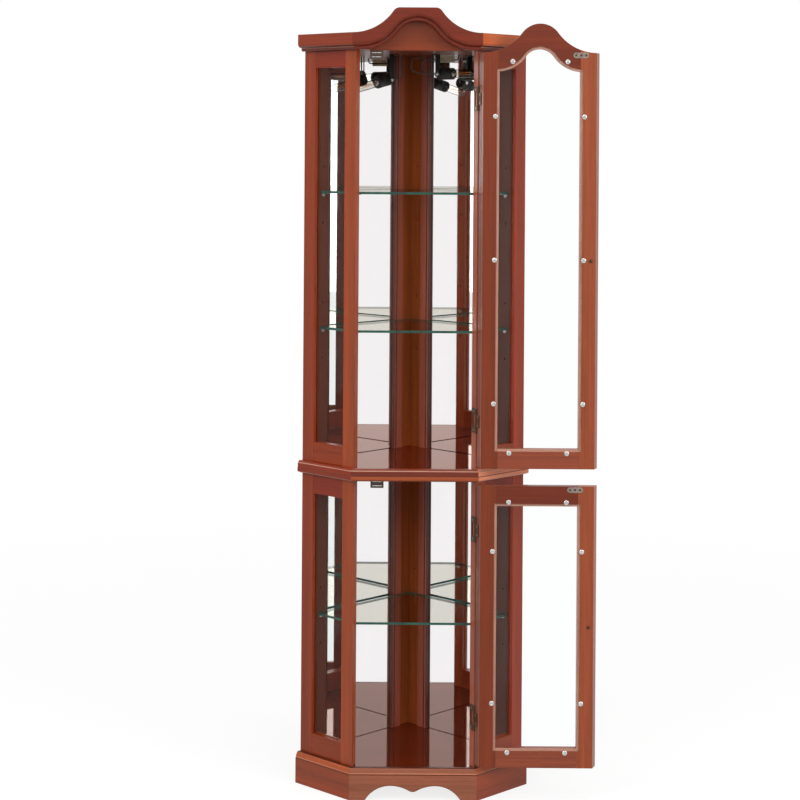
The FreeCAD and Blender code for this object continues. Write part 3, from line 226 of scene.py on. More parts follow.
# Painted light on the cornice: painted shade as a dark band on its downward-facing round and a
# dark line above it, with a painted highlight line between them.
CORNICE = (
    Band(UP, 1708.0, 4.1, (104.0, 40.0, 26.0)),
    Band(UP, 1711.0, 0.8, (170.0, 118.0, 102.0)),
    Band(UP, 1713.2, 1.4, (88.0, 34.0, 22.0)),
)
# Painted shade on the rear posts' inner faces, with a lighter strip along the side's plane.
INNER_FACE_PAINTED_SHADE = (
    Band(WALLWARD, 329.0, 24.0, (92.0, 42.0, 24.0)),
    Band(INWARD, 0.0, 1.5, (140.0, 68.0, 34.0)),
)
# Painted shade in the mirror strips' groove and along their inner edge.
GROOVE_PAINTED_SHADE = (
    Band(WALLWARD, 75.4, 1.6, (34.0, 16.0, 12.0)),
    Band(WALLWARD, 82.4, 1.2, (84.0, 40.0, 32.0)),
)
MIRROR_EDGES = (
    Band(UP, 72.0, 1.1, (70.0, 58.0, 54.0)),
    Band(UP, 751.0, 1.1, (70.0, 58.0, 54.0)),
    Band(WALLWARD, 84.0, 0.6, (64.0, 58.0, 54.0)),
)


# Finishes ------------------------------------------------------------------------


class Graph:
    """The nodes of a material or a world, with short ways to add and join them."""

    def __init__(self, owner: bpy.types.Material | bpy.types.World) -> None:
        """Start with nothing but an output node.

        Args:
            owner: the material or world that has the nodes.
        """
        owner.use_nodes = True
        kind = "World" if isinstance(owner, bpy.types.World) else "Material"
        self.owner = owner
        self.tree = owner.node_tree
        self.tree.nodes.clear()
        self.output = self.tree.nodes.new(f"ShaderNodeOutput{kind}")

    def add(
        self, kind: str, inputs: dict[Any, Any] | None = None, **settings: Any
    ) -> bpy.types.NodeOutputs:
        """Add a node.

        Args:
            kind: the node's type, without the words that all shader nodes start with.
            inputs: values or other nodes' outputs, by input name or number.
            **settings: the node's own settings.

        Returns:
            The new node's outputs.
        """
        node = self.tree.nodes.new(f"ShaderNode{kind}")
        for key, value in settings.items():
            setattr(node, key, value)
        for key, value in (inputs or {}).items():
            if isinstance(value, Socket):
                self.tree.links.new(value, node.inputs[key])
            else:
                node.inputs[key].default_value = value
        return node.outputs

    def maths(self, operation: str, *values: Any) -> Socket:
        """Return the result of a math operation on values and outputs."""
        return self.add("Math", dict(enumerate(values)), operation=operation)[0]

    def along(self, vector: Socket, way: Sequence[float]) -> Socket:
        """Return how far a vector reaches along a way."""
        return self.add("VectorMath", {0: vector, 1: way}, operation="DOT_PRODUCT")["Value"]

    def mixed(self, share: Socket, under: Socket, over: Socket) -> Socket:
        """Return a shader with a share of another one over it."""
        return self.add("MixShader", {0: share, 1: under, 2: over})[0]

    def stretched(self, axes: Sequence[Vec], densities: Sequence[float]) -> Socket:
        """Return the object's own coordinates along three axes, scaled one by one.

        Args:
            axes: three unit vectors.
            densities: how many units of the result go to a metre of each axis.

        Returns:
            The vector output.
        """
        where = self.add("TexCoord")["Object"]
        parts = [
            self.along(where, [density * part for part in axis])
            for axis, density in zip(axes, densities)
        ]
        return self.add("CombineXYZ", dict(enumerate(parts)))[0]

    def local(self) -> Socket:
        """Return the object's own coordinates in metres, with its height first."""
        return self.stretched(Grain.UP.value, (1.0, 1.0, 1.0))

    def noise(
        self, where: Socket, scale: float, detail: float = 3.0, bend: float = 0.0
    ) -> Socket:
        """Return a noise between 0 and 1, with layers of detail and distorted by a bend."""
        inputs = {"Vector": where, "Scale": scale, "Detail": detail, "Distortion": bend}
        return self.add("TexNoise", inputs)[0]

    def ramp(self, value: Socket, *stops: tuple[float, Any]) -> Socket:
        """Colour a value.

        Args:
            value: the value to colour.
            *stops: places from 0 to 1 with their linear colours.

        Returns:
            The colour output.
        """
        outputs = self.add("ValToRGB", {0: value})
        line = outputs[0].node.color_ramp.elements
        while len(line) < len(stops):
            line.new(0.5)
        for stop, (place, colour) in zip(line, stops):
            stop.position = place
            stop.color = colour
        return outputs[0]

    def mottled(self, value: Socket, colour: Colour, low: float, high: float) -> Socket:
        """Return a value's middle range, 0.3 to 0.7, as shades of a display colour."""
        shades = (0.3, srgb(*shaded(colour, low))), (0.7, srgb(*shaded(colour, high)))
        return self.ramp(value, *shades)

    def spread(self, value: Socket, low: float, high: float) -> Socket:
        """Return a value's middle range, 0.3 to 0.7, spread from low to high."""
        return self.add("MapRange", {0: value, 1: 0.3, 2: 0.7, 3: low, 4: high})[0]

    def times(self, one: Socket, two: Socket) -> Socket:
        """Return one colour multiplied by another."""
        inputs = {0: 1.0, 6: one, 7: two}
        return self.add("Mix", inputs, data_type="RGBA", blend_type="MULTIPLY")[2]

    def bump(self, height: Socket, depth: float) -> Socket:
        """Return the normal of a surface roughened by a height of that depth in metres."""
        inputs = {"Strength": 1.0, "Distance": depth, "Height": height}
        return self.add("Bump", inputs)[0]

    def banded(self, colour: Socket, bands: Iterable[Band]) -> Socket:
        """Lay bands over a colour.

        Args:
            colour: the colour under them.
            bands: the bands.

        Returns:
            The colour output.
        """
        for band in bands:
            where = self.add("TexCoord")["Object"]
            side = self.add("VectorMath", {0: where}, operation="ABSOLUTE")[0]
            level = self.along(side, band.way)
            near = self.maths("COMPARE", level, band.level * MM, band.half * MM)
            tone = srgb(*band.tone)
            other = self.ramp(near, (0.0, tone), (1.0, tone))
            colour = self.add("Mix", {0: near, 6: colour, 7: other}, data_type="RGBA")[2]
        return colour

    def clear(self, tint: Any) -> Socket:
        """Return a clear layer that neither bends what is behind it nor holds back light.

        Args:
            tint: the linear colour, or colour output, that what is behind it takes on.

        Returns:
            The shader output.
        """
        path = self.add("LightPath")
        free = self.maths("MAXIMUM", path["Is Shadow Ray"], path["Is Diffuse Ray"])
        straight = self.add("BsdfRefraction", {"Color": tint, "Roughness": 0.0, "IOR": 1.0})
        through = self.add("BsdfTransparent", {"Color": tint})
        return self.mixed(free, straight[0], through[0])

    def glossed(
        self, under: Socket, rough: Any, index: float, tint: Sequence[float] = WHITE
    ) -> Socket:
        """Return a shader under a gloss on its outer faces that grows at low angles.

        Args:
            under: the shader under the gloss.
            rough: the gloss's roughness, as a value or an output.
            index: the refractive index that sets how strong it is.
            tint: its linear colour.

        Returns:
            The shader output.
        """
        gloss = self.add("BsdfGlossy", {"Color": tint, "Roughness": rough})[0]
        shine = self.add("Fresnel", {"IOR": index})[0]
        outer = self.maths("SUBTRACT", 1.0, self.add("NewGeometry")["Backfacing"])
        return self.mixed(self.maths("MULTIPLY", shine, outer), under, gloss)

    def surface(self, **inputs: Any) -> bpy.types.Material:
        """Close the material with a principled surface, with underscores for spaces."""
        named = {key.replace("_", " "): value for key, value in inputs.items()}
        return self.close(self.add("BsdfPrincipled", named)[0])

    def close(self, shader: Socket) -> Any:
        """Join a shader to the output and return the material or the world."""
        self.tree.links.new(shader, self.output.inputs["Surface"])
        return self.owner


@dataclass(frozen=True)
class Wood:
    """Cherry-stained wood under clear lacquer.

    Attributes:
        tone: the stain.
        grain: the way the grain runs.
        lacquer: how strong the clear coat is.
        bands: painted highlights and painted shade, as lines and bands of another tone.
        polish: the display tint of a mirror-like gloss, if it has one.
    """

    tone: Tone
    grain: Grain
    lacquer: float = 0.2
    bands: tuple[Band, ...] = ()
    polish: Colour | None = None

    # Streaks, lines and pores: cells to a metre along and across the grain, detail and bend.
    FIGURE = ((0.9, 30.0, 5.0, 0.7), (6.0, 270.0, 4.0, 0.2), (38.0, 900.0, 1.0, 0.0))
    STREAK_SHADES = ((0.28, 0.9), (0.5, 1.0), (0.72, 1.1))
    LINE_TINTS = ((0.3, (0.84, 0.80, 0.78, 1.0)), (0.62, (1.06, 1.06, 1.05, 1.0)))
    PORE_TINTS = ((0.62, WHITE), (0.74, (0.76, 0.70, 0.66, 1.0)))
    POLISH_GLOSS = (0.045, 1.7)

    def make(self) -> bpy.types.Material:
        """Return the node material."""
        name = f"wood_{self.tone.name}_{self.grain.name}".lower()
        graph = Graph(bpy.data.materials.new(name))
        streaks, lines, pores = (
            graph.noise(graph.stretched(self.grain.value, (along, across, across)), 1.0, *rest)
            for along, across, *rest in self.FIGURE
        )
        tone = self.tone.value
        shades = [(place, srgb(*shaded(tone, share))) for place, share in self.STREAK_SHADES]
        stain = graph.banded(graph.ramp(streaks, *shades), self.bands)
        colour = graph.times(stain, graph.ramp(lines, *self.LINE_TINTS))
        colour = graph.times(colour, graph.ramp(pores, *self.PORE_TINTS))
        if self.polish:
            matt = graph.add("BsdfDiffuse", {"Color": colour})[0]
            rough, index = self.POLISH_GLOSS
            return graph.close(graph.glossed(matt, rough, index, srgb(*self.polish)))
        return graph.surface(
            Base_Color=colour,
            Roughness=graph.spread(lines, 0.42, 0.32),
            Specular_IOR_Level=0.1 + 0.4 * self.lacquer,
            Coat_Weight=self.lacquer,
            Coat_Roughness=0.09 - 0.07 * self.lacquer,
            Coat_IOR=1.5,
            Normal=graph.bump(lines, 0.00004),
        )


@dataclass(frozen=True)
class Metal:
    """A metal finish, brushed or grained, with rubbed patches.

    Attributes:
        name: the material's name.
        colour: its display colour.
        rough: its roughness.
        metallic: how much of it is bare metal.
    """

    name: str
    colour: Colour
    rough: float = 0.3
    metallic: float = 1.0

    def make(self) -> bpy.types.Material:
        """Return the node material."""
        graph = Graph(bpy.data.materials.new(self.name))
        where = graph.local()
        patches = graph.noise(where, 260.0)
        specks = graph.noise(where, 2400.0, detail=1.0)
        return graph.surface(
            Base_Color=graph.mottled(patches, self.colour, 0.84, 1.08),
            Metallic=self.metallic,
            Roughness=graph.spread(patches, self.rough * 0.8, self.rough * 1.25),
            Normal=graph.bump(specks, 0.00002),
        )


@dataclass(frozen=True)
class Plastic:
    """Moulded plastic, card or rubber with a fine texture.

    Attributes:
        name: the material's name.
        colour: its display colour.
        rough: its roughness.
        scale: the texture's cells to a metre.
    """

    name: str
    colour: Colour
    rough: float = 0.45
    scale: float = 1600.0

    def make(self) -> bpy.types.Material:
        """Return the node material."""
        graph = Graph(bpy.data.materials.new(self.name))
        where = graph.local()
        skin = graph.noise(where, self.scale, detail=2.0)
        cloud = graph.noise(where, self.scale / 12.0)
        return graph.surface(
            Base_Color=graph.mottled(cloud, self.colour, 0.9, 1.06),
            Roughness=graph.spread(cloud, self.rough * 0.85, self.rough * 1.15),
            Normal=graph.bump(skin, 0.00003),
        )


@dataclass(frozen=True)
class Pane:
    """Thin clear glass that lets light straight through.

    Attributes:
        name: the material's name.
        tint: the display colour that it gives to what is behind it.
        smear: the roughness of its gloss where it has been wiped.
        rim: the display colour at its outline, if it is darker there.
        index: the refractive index that sets its gloss.
    """

    name: str = "clear_glass"
    tint: Colour = (254.0, 255.0, 254.5)
    smear: float = 0.06
    rim: Colour | None = None
    index: float = 1.2

    def make(self) -> bpy.types.Material:
        """Return the node material."""
        graph = Graph(bpy.data.materials.new(self.name))
        wiped = graph.noise(graph.local(), 14.0, detail=4.0, bend=1.2)
        rough = graph.spread(wiped, 0.0, self.smear)
        tint: Any = srgb(*self.tint)
        if self.rim is not None:
            turned = graph.add("LayerWeight", {"Blend": 0.5})["Facing"]
            tint = graph.ramp(turned, (0.45, tint), (0.85, srgb(*self.rim)))
        return graph.close(graph.glossed(graph.clear(tint), rough, self.index))


@dataclass(frozen=True)
class ShelfGlass:
    """Float glass with clear faces and green edges.

    Attributes:
        name: the material's name.
        face: the display colour that its faces give to what is behind them.
        gloss: the display tint of its faces' gloss.
        edge: the display colour of its ground edges.
    """

    name: str = "shelf_glass"
    face: Colour = (240.0, 240.0, 235.0)
    gloss: Colour = (226.0, 223.0, 215.0)
    edge: Colour = (38.0, 78.0, 66.0)

    def make(self) -> bpy.types.Material:
        """Return the node material."""
        graph = Graph(bpy.data.materials.new(self.name))
        where = graph.local()
        bands = graph.noise(where, 30.0)
        grind = graph.noise(where, 900.0, detail=2.0)
        upright = graph.along(graph.add("NewGeometry")["Normal"], UP)
        is_face = graph.maths("GREATER_THAN", graph.maths("ABSOLUTE", upright), 0.6)
        face = graph.glossed(graph.clear(srgb(*self.face)), 0.02, 1.4, srgb(*self.gloss))
        inputs = {
            "Base Color": graph.mottled(bands, self.edge, 0.78, 1.2),
            "Roughness": 0.2,
            "Specular IOR Level": 0.3,
            "Normal": graph.bump(grind, 0.00002),
        }
        edge = graph.add("BsdfPrincipled", inputs)[0]
        return graph.close(graph.mixed(is_face, edge, face))


@dataclass(frozen=True)
class Mirror:
    """Silvered glass.

    Attributes:
        name: the material's name.
        silver: its display colour.
        bands: the dark lines along its edges.
    """

    name: str = "mirror"
    silver: Colour = (249.0, 248.0, 248.0)
    bands: tuple[Band, ...] = MIRROR_EDGES

    def make(self) -> bpy.types.Material:
        """Return the node material."""
        graph = Graph(bpy.data.materials.new(self.name))
        wiped = graph.noise(graph.local(), 9.0, detail=5.0, bend=1.5)
        silver = graph.mottled(wiped, self.silver, 1.0, 0.996)
        return graph.surface(
            Base_Color=graph.banded(silver, self.bands),
            Metallic=1.0,
            Roughness=graph.spread(wiped, 0.0, 0.035),
        )


@dataclass
class Finishes:
    """Makes each finish once and keeps it.

    Attributes:
        made: the materials by finish.
    """

    made: dict[Any, bpy.types.Material] = field(default_factory=dict)

    BRIGHT = Metal("bright_metal", (205.0, 205.0, 202.0), rough=0.22)
    DARK = Metal("dark_metal", (88.0, 66.0, 52.0), rough=0.38)
    SCREW = Metal("screw_metal", (168.0, 142.0, 112.0), rough=0.34)
    PLATE = Metal("strike_metal", (150.0, 136.0, 126.0), rough=0.4)
    BLACK_METAL = Metal("black_metal", (34.0, 32.0, 31.0), rough=0.5, metallic=0.4)
    WIRE = Metal("lamp_wire", (228.0, 132.0, 30.0), rough=0.4, metallic=0.2)
    CAP = Metal("lamp_cap", (190.0, 180.0, 172.0))
    BLACK = Plastic("black_plastic", (30.0, 29.0, 29.0), rough=0.5)
    CATCH = Plastic("catch_plastic", (72.0, 50.0, 38.0), rough=0.42)
    FACE = Plastic("socket_face", (196.0, 170.0, 154.0), rough=0.6)
    CORD = Plastic("black_cord", (50.0, 46.0, 45.0), rough=0.3, scale=2600.0)
    CARD = Plastic("tag_card", (226.0, 214.0, 190.0), rough=0.8, scale=1100.0)
    GLASS = Pane()
    BULB = Pane(
        "bulb_glass", (238.0, 236.0, 230.0), smear=0.02, rim=(60.0, 57.0, 54.0), index=1.4
    )
    SHELF = ShelfGlass()
    MIRROR = Mirror()

    def get(self, finish: Any) -> bpy.types.Material:
        """Return the material of a finish.

        Args:
            finish: one of the finish classes' values.

        Returns:
            The node material, made on first use.
        """
        if finish not in self.made:
            self.made[finish] = finish.make()
        return self.made[finish]


# Forms ---------------------------------------------------------------------------


def rounded(width: float, height: float, radius: float, steps: int) -> Profile:
    """Return a rounded rectangle's outline about its middle, anticlockwise.

    Args:
        width: its size along the first axis.
        height: its size along the second axis.
        radius: its corners' radius.
        steps: the corners' segments.

    Returns:
        The outline.
    """
    points = []
    for quarter, (right, up) in enumerate(((1, 1), (-1, 1), (-1, -1), (1, -1))):
        across, along = right * (width / 2 - radius), up * (height / 2 - radius)
        for number in range(steps + 1):
            turn = math.pi / 2 * (quarter + number / steps)
            points.append((across + radius * math.cos(turn), along + radius * math.sin(turn)))
    return points


def facing(place: Iterable[float], direction: Iterable[float]) -> Matrix:
    """Return the place of a form whose local Z points in a direction."""
    turn = Vector(direction).to_track_quat("Z", "Y").to_matrix().to_4x4()
    return Matrix.Translation(Vector(place)) @ turn


def mounted(low: Vector, high: Vector) -> Matrix:
    """Return the place in the middle of a box's rear face that points to the front."""
    return facing(((low.x + high.x) / 2, high.y, (low.z + high.z) / 2), FRONT)


def added(name: str, data: Any) -> bpy.types.Object:
    """Put a new object into the scene.

    Args:
        name: its name.
        data: its mesh, curve, light or camera.

    Returns:
        The object.
    """
    thing = bpy.data.objects.new(name, data)
    bpy.context.scene.collection.objects.link(thing)
    return thing


class Form:
    """A mesh put together from turned and extruded shapes, in several finishes."""

    def __init__(self) -> None:
        """Start with an empty mesh."""
        self.whole = bmesh.new()

    def take(self, shape: bmesh.types.BMesh, place: Matrix, finish: int = 0) -> None:
        """Add a shape and free it.

        Args:
            shape: the shape.
            place: where it goes.
            finish: which of the piece's finishes it has.
        """
        bmesh.ops.recalc_face_normals(shape, faces=shape.faces)
        shape.transform(place)
        for face in shape.faces:
            face.material_index = finish
        data = bpy.data.meshes.new("shape")
        shape.to_mesh(data)
        shape.free()
        self.whole.from_mesh(data)
        bpy.data.meshes.remove(data)

    def turned(
        self,
        profile: Profile,
        place: Matrix,
        finish: int = 0,
        steps: int = 48,
        scale: tuple[float, float] = (MM, MM),
        ribs: int = 0,
        groove: float = 0.0,
    ) -> None:
        """Add a shape turned round its local Z.

        Args:
            profile: (radius, height) from one end to the other.
            place: where it goes.
            finish: which of the piece's finishes it has.
            steps: its segments.
            scale: what one unit of radius and one of height measure.
            ribs: the number of ribs round it.
            groove: how deep the grooves between the ribs are.
        """
        shape = bmesh.new()
        rings = []
        for radius, height in profile:
            level = height * scale[1]
            if radius <= 0.0:
                rings.append([shape.verts.new((0.0, 0.0, level))])
                continue
            ring = []
            for number in range(steps):
                turn = math.tau * number / steps
                cut = groove * (0.5 - 0.5 * math.cos(ribs * turn)) ** 2
                reach = radius * scale[0] - cut
                corner = (reach * math.cos(turn), reach * math.sin(turn), level)
                ring.append(shape.verts.new(corner))
            rings.append(ring)
        for low, high in zip(rings, rings[1:]):
            for number in range(steps):
                after = (number + 1) % steps
                around = ((low, number), (low, after), (high, after), (high, number))
                unique = list(dict.fromkeys(rim[spot % len(rim)] for rim, spot in around))
                if len(unique) > 2:
                    shape.faces.new(unique)
        for ring in (rings[0], rings[-1]):
            if len(ring) > 2:
                shape.faces.new(ring)
        self.take(shape, place, finish)

    def extruded(
        self,
        outline: Profile,
        depth: float,
        place: Matrix,
        finish: int = 0,
        arris: float = 0.0,
    ) -> None:
        """Add an outline extruded along its local Z.

        Args:
            outline: the corners, anticlockwise.
            depth: how thick it is.
            place: where its outline goes.
            finish: which of the piece's finishes it has.
            arris: how far its edges are rounded.
        """
        shape = bmesh.new()
        low = [shape.verts.new((x, y, 0.0)) for x, y in outline]
        high = [shape.verts.new((x, y, depth)) for x, y in outline]
        shape.faces.new(list(reversed(low)))
        shape.faces.new(high)
        for number, corner in enumerate(low):
            after = (number + 1) % len(low)
            shape.faces.new((corner, low[after], high[after], high[number]))
        if arris:
            rim = math.radians(RIM)
            rims = [edge for edge in shape.edges if edge.calc_face_angle(0.0) > rim]
            bmesh.ops.bevel(
                shape, geom=rims, offset=arris, segments=2, profile=0.5,
                affect="EDGES", clamp_overlap=True,
            )
        self.take(shape, place, finish)

    def piece(
        self,
        name: str,
        body: str,
        finishes: Sequence[bpy.types.Material],
        slot: str,
        nodes: Sequence[str] = (),
    ) -> None:
        """Turn the form into a piece of the cabinet.

        Args:
            name: the piece's name.
            body: the body that it rides on.
            finishes: its materials, in the order of its finish numbers.
            slot: the record's material slot; not used.
            nodes: the nodes that it replaces.
        """
        data = bpy.data.meshes.new(name)
        self.whole.to_mesh(data)
        self.whole.free()
        data.shade_smooth()
        data.set_sharp_from_angle(angle=math.radians(SHARP))
        for finish in finishes:
            data.materials.append(finish)
        piece = added(name, data)
        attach(piece, body)
        if nodes:
            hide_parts(*nodes)
        LOG.info("built %s on %s", name, body)


def soften(node: bpy.types.Object, width: float) -> None:
    """Round a node's edges without touching its mesh.

    Args:
        node: the node.
        width: how far its edges are rounded.
    """
    weld = node.modifiers.new("weld", "WELD")
    weld.merge_threshold = WELD_GAP
    flat = node.modifiers.new("flatten", "DECIMATE")
    flat.decimate_type = "DISSOLVE"
    flat.angle_limit = math.radians(FLAT)
    edge = node.modifiers.new("arris", "BEVEL")
    edge.width = width
    edge.segments = 2
    edge.limit_method = "ANGLE"
    edge.angle_limit = math.radians(BEND)
    edge.use_clamp_overlap = True
    normal = node.modifiers.new("normals", "WEIGHTED_NORMAL")
    normal.keep_sharp = False
    normal.weight = 100


# Sub-assemblies ------------------------------------------------------------------


@dataclass
class Assembly:
    """A part of the cabinet, with what all parts share.

    Attributes:
        finishes: the shared finishes.
    """

    frame: dict[str, Any]
    finishes: Finishes

    def solids(self, name: str) -> list[tuple[Vector, Vector]]:
        """Find the separate solids of a node.

        Args:
            name: the node's name.

        Returns:
            The lowest and highest corner of each solid, from the lowest solid up.
        """
        data = self.frame["nodes"][name].data
        keys = [tuple(round(part, 6) for part in vertex.co) for vertex in data.vertices]
        leader: dict[Vec, Vec] = {key: key for key in keys}

        def head(key: Vec) -> Vec:
            """Follow the leaders of a corner.

            Args:
                key: the corner.

            Returns:
                The last leader.
            """
            while leader[key] != key:
                leader[key] = leader[leader[key]]
                key = leader[key]
            return key

        for face in data.polygons:
            first = head(keys[face.vertices[0]])
            for corner in face.vertices[1:]:
                leader[head(keys[corner])] = first
        groups: dict[Vec, list[Vec]] = {}
        for key in leader:
            groups.setdefault(head(key), []).append(key)
        boxes = [
            (Vector(map(min, zip(*group))), Vector(map(max, zip(*group))))
            for group in groups.values()
        ]
        return sorted(boxes, key=lambda box: (round(box[0].z, 4), round(box[0].x, 4)))

    def pivot(self, name: str) -> Vector:
        """Return a point of a joint's axis."""
        joint = next(joint for joint in self.frame["joints"] if joint["name"] == name)
        return Vector(joint["pos_m"])

    def coats(self, *finishes: Any) -> list[bpy.types.Material]:
        """Return the materials of finishes."""
        return [self.finishes.get(finish) for finish in finishes]

    def dress(self, name: str, finish: Any, arris: float = 0.0) -> None:
        """Give a node one finish all over.

        Args:
            name: the node's name.
            finish: its finish.
            arris: how far its edges are rounded, if they are.
        """
        node = self.frame["nodes"][name]
        if arris:
            soften(node, arris)
        material = self.finishes.get(finish)
        node.data.materials.clear()
        node.data.materials.append(material)
        LOG.info("dressed %s in %s", name, material.name)


@dataclass
class Joinery(Assembly):
    """The wooden nodes of the cabinet and its doors, softened, stained and given painted
    highlights and shade.

    Attributes:
        arris: how far a wooden edge is rounded.
    """

    arris: float = 0.7 * MM

    POLISH = (255.0, 228.0, 218.0)

    # Painted light rides on these boards: their bands paint highlights and shade, and the right
    # cornice and right waist moulding take tones painted lighter where light falls.
    BOARDS = (
        (Wood(Tone.BASE, Grain.ACROSS, bands=PLINTH_PAINTED_LIGHT[1:]), "base_front"),
        (Wood(Tone.WAIST, Grain.ACROSS, bands=FRONT_WAIST_PAINTED_LIGHT), "waist_moulding_front"),
        (Wood(Tone.BASE_SIDE, Grain.LEFT_SIDE, bands=PLINTH_PAINTED_LIGHT), "base_left"),
        (Wood(Tone.BASE_SIDE, Grain.RIGHT_SIDE, bands=PLINTH_PAINTED_LIGHT), "base_right"),
        (Wood(Tone.WAIST_SIDE, Grain.LEFT_SIDE, bands=SIDE_WAIST_PAINTED_LIGHT), "waist_moulding_left"),
        (Wood(Tone.RIGHT_WAIST, Grain.RIGHT_SIDE, bands=SIDE_WAIST_PAINTED_LIGHT), "waist_moulding_right"),
        (Wood(Tone.CORNICE, Grain.LEFT_SIDE, bands=CORNICE), "cornice_left"),
        (Wood(Tone.BRIGHT_CORNICE, Grain.RIGHT_SIDE, bands=CORNICE), "cornice_right"),
        (Wood(Tone.CREST, Grain.ACROSS), "crest_front", "crest_arch_moulding"),
        (Wood(Tone.FRIEZE, Grain.ACROSS), "frieze_panel"),
        (Wood(Tone.FLOOR, Grain.ACROSS, polish=POLISH), "lower_floor", "waist_board"),
        (Wood(Tone.BOARD, Grain.ACROSS, lacquer=0.1), "ceiling_board"),
        (Wood(Tone.FRONT_POST, Grain.UP), "front_stile_left", "front_stile_right"),
        (Wood(Tone.REAR_POST, Grain.UP, bands=INNER_FACE_PAINTED_SHADE), "rear_post_left"),
        (Wood(Tone.RIGHT_POST, Grain.UP, bands=INNER_FACE_PAINTED_SHADE), "rear_post_right"),
        (Wood(Tone.COLUMN, Grain.UP), "corner_post", "wall_board_left", "wall_board_right"),
        (Wood(Tone.STRIP, Grain.UP, lacquer=0.3, bands=GROOVE_PAINTED_SHADE), "mirror_retainers"),
    )
    SECTION_BOARDS = {
        "side_bottom_rails": Wood(Tone.RAIL, Grain.LEFT_SIDE),
        "side_top_rails": Wood(Tone.DARK_RAIL, Grain.LEFT_SIDE),
        "door_free_stile": Wood(Tone.DOOR_FREE, Grain.UP, bands=LIP_PAINTED_HIGHLIGHT),
        "door_hinge_stile": Wood(Tone.DOOR_HINGE, Grain.UP, bands=LIP_PAINTED_HIGHLIGHT),
        "door_top_rail": Wood(Tone.DOOR_HEAD, Grain.ACROSS, bands=LIP_PAINTED_HIGHLIGHT),
        "door_bottom_rail": Wood(Tone.DOOR_FOOT, Grain.ACROSS, bands=LIP_PAINTED_HIGHLIGHT),
    }

    def build(self) -> None:
        """Give every wooden node its edges, its grain, its stain and its painted highlights and
        shade.
        """
        for wood, *names in self.BOARDS:
            for name in names:
                self.dress(name, wood, self.arris)
        for board, wood in self.SECTION_BOARDS.items():
            for section in Section:
                self.dress(f"{section.value}_{board}", wood, self.arris)


@dataclass
class Glazing(Assembly):
    """Mirrors, panes and shelves."""

    NODES = {
        Finishes.MIRROR: ("lower_mirrors", "upper_mirrors"),
        Finishes.GLASS: (
            "lower_side_panes", "upper_side_panes", "upper_door_glass", "lower_door_glass"
        ),
        Finishes.SHELF: ("lower_shelf", "middle_shelf", "upper_shelf"),
    }

    def build(self) -> None:
        """Give every glass node its finish."""
        for finish, names in self.NODES.items():
            for name in names:
                self.dress(name, finish)


@dataclass(frozen=True)
class LeafScrews:
    """The two countersunk screws of each hinge leaf of a node.

    Attributes:
        name: the piece's name.
        body: the body that it rides on.
        node: the node of the leaves.
        joint: the hinge that they belong to.
        turn: their turn about its axis, in degrees.
        spot: where a screw is from the axis in a leaf's own frame, in millimetres.
        rise: how far above and below the leaf's middle they are, in millimetres.
        head: the profile of a screw's head, in millimetres.
        slot: the length, width and depth of a slot.
    """

    name: str
    body: str
    node: str
    joint: str
    turn: float
    spot: tuple[float, float]
    rise: float
    head: Profile = ((2.5, -0.4), (2.5, 0.1), (1.75, 0.16), (1.0, 0.16), (0.0, 0.05))
    slot: Vec = (3.0 * MM, 0.5 * MM, 0.16 * MM)

    def build(self, owner: Assembly) -> None:
        """Make the screws with their cross slots.

        Args:
            owner: the assembly that they belong to.
        """
        spin = Matrix.Rotation(math.radians(self.turn), 4, "Z")
        way = spin @ Vector((math.copysign(1.0, self.spot[0]), 0.0, 0.0))
        spot = spin @ Vector((self.spot[0] * MM, self.spot[1] * MM, 0.0))
        axis = owner.pivot(self.joint)
        length, width, depth = self.slot
        slot = rounded(length, width, 0.4 * width, 2)
        form = Form()
        for low, high in owner.solids(self.node):
            for rise in (-self.rise, self.rise):
                height = (low.z + high.z) / 2 + rise * MM
                place = facing(Vector((axis.x, axis.y, height)) + spot, way)
                form.turned(self.head, place, steps=24)
                floor = place @ Matrix.Translation((0.0, 0.0, 0.02 * MM))
                for quarter in (0.0, math.pi / 2):
                    form.extruded(slot, depth, floor @ Matrix.Rotation(quarter, 4, "Z"), 1)
        finishes = owner.coats(Finishes.SCREW, Finishes.DARK)
        form.piece(self.name, self.body, finishes, "dark_metal")


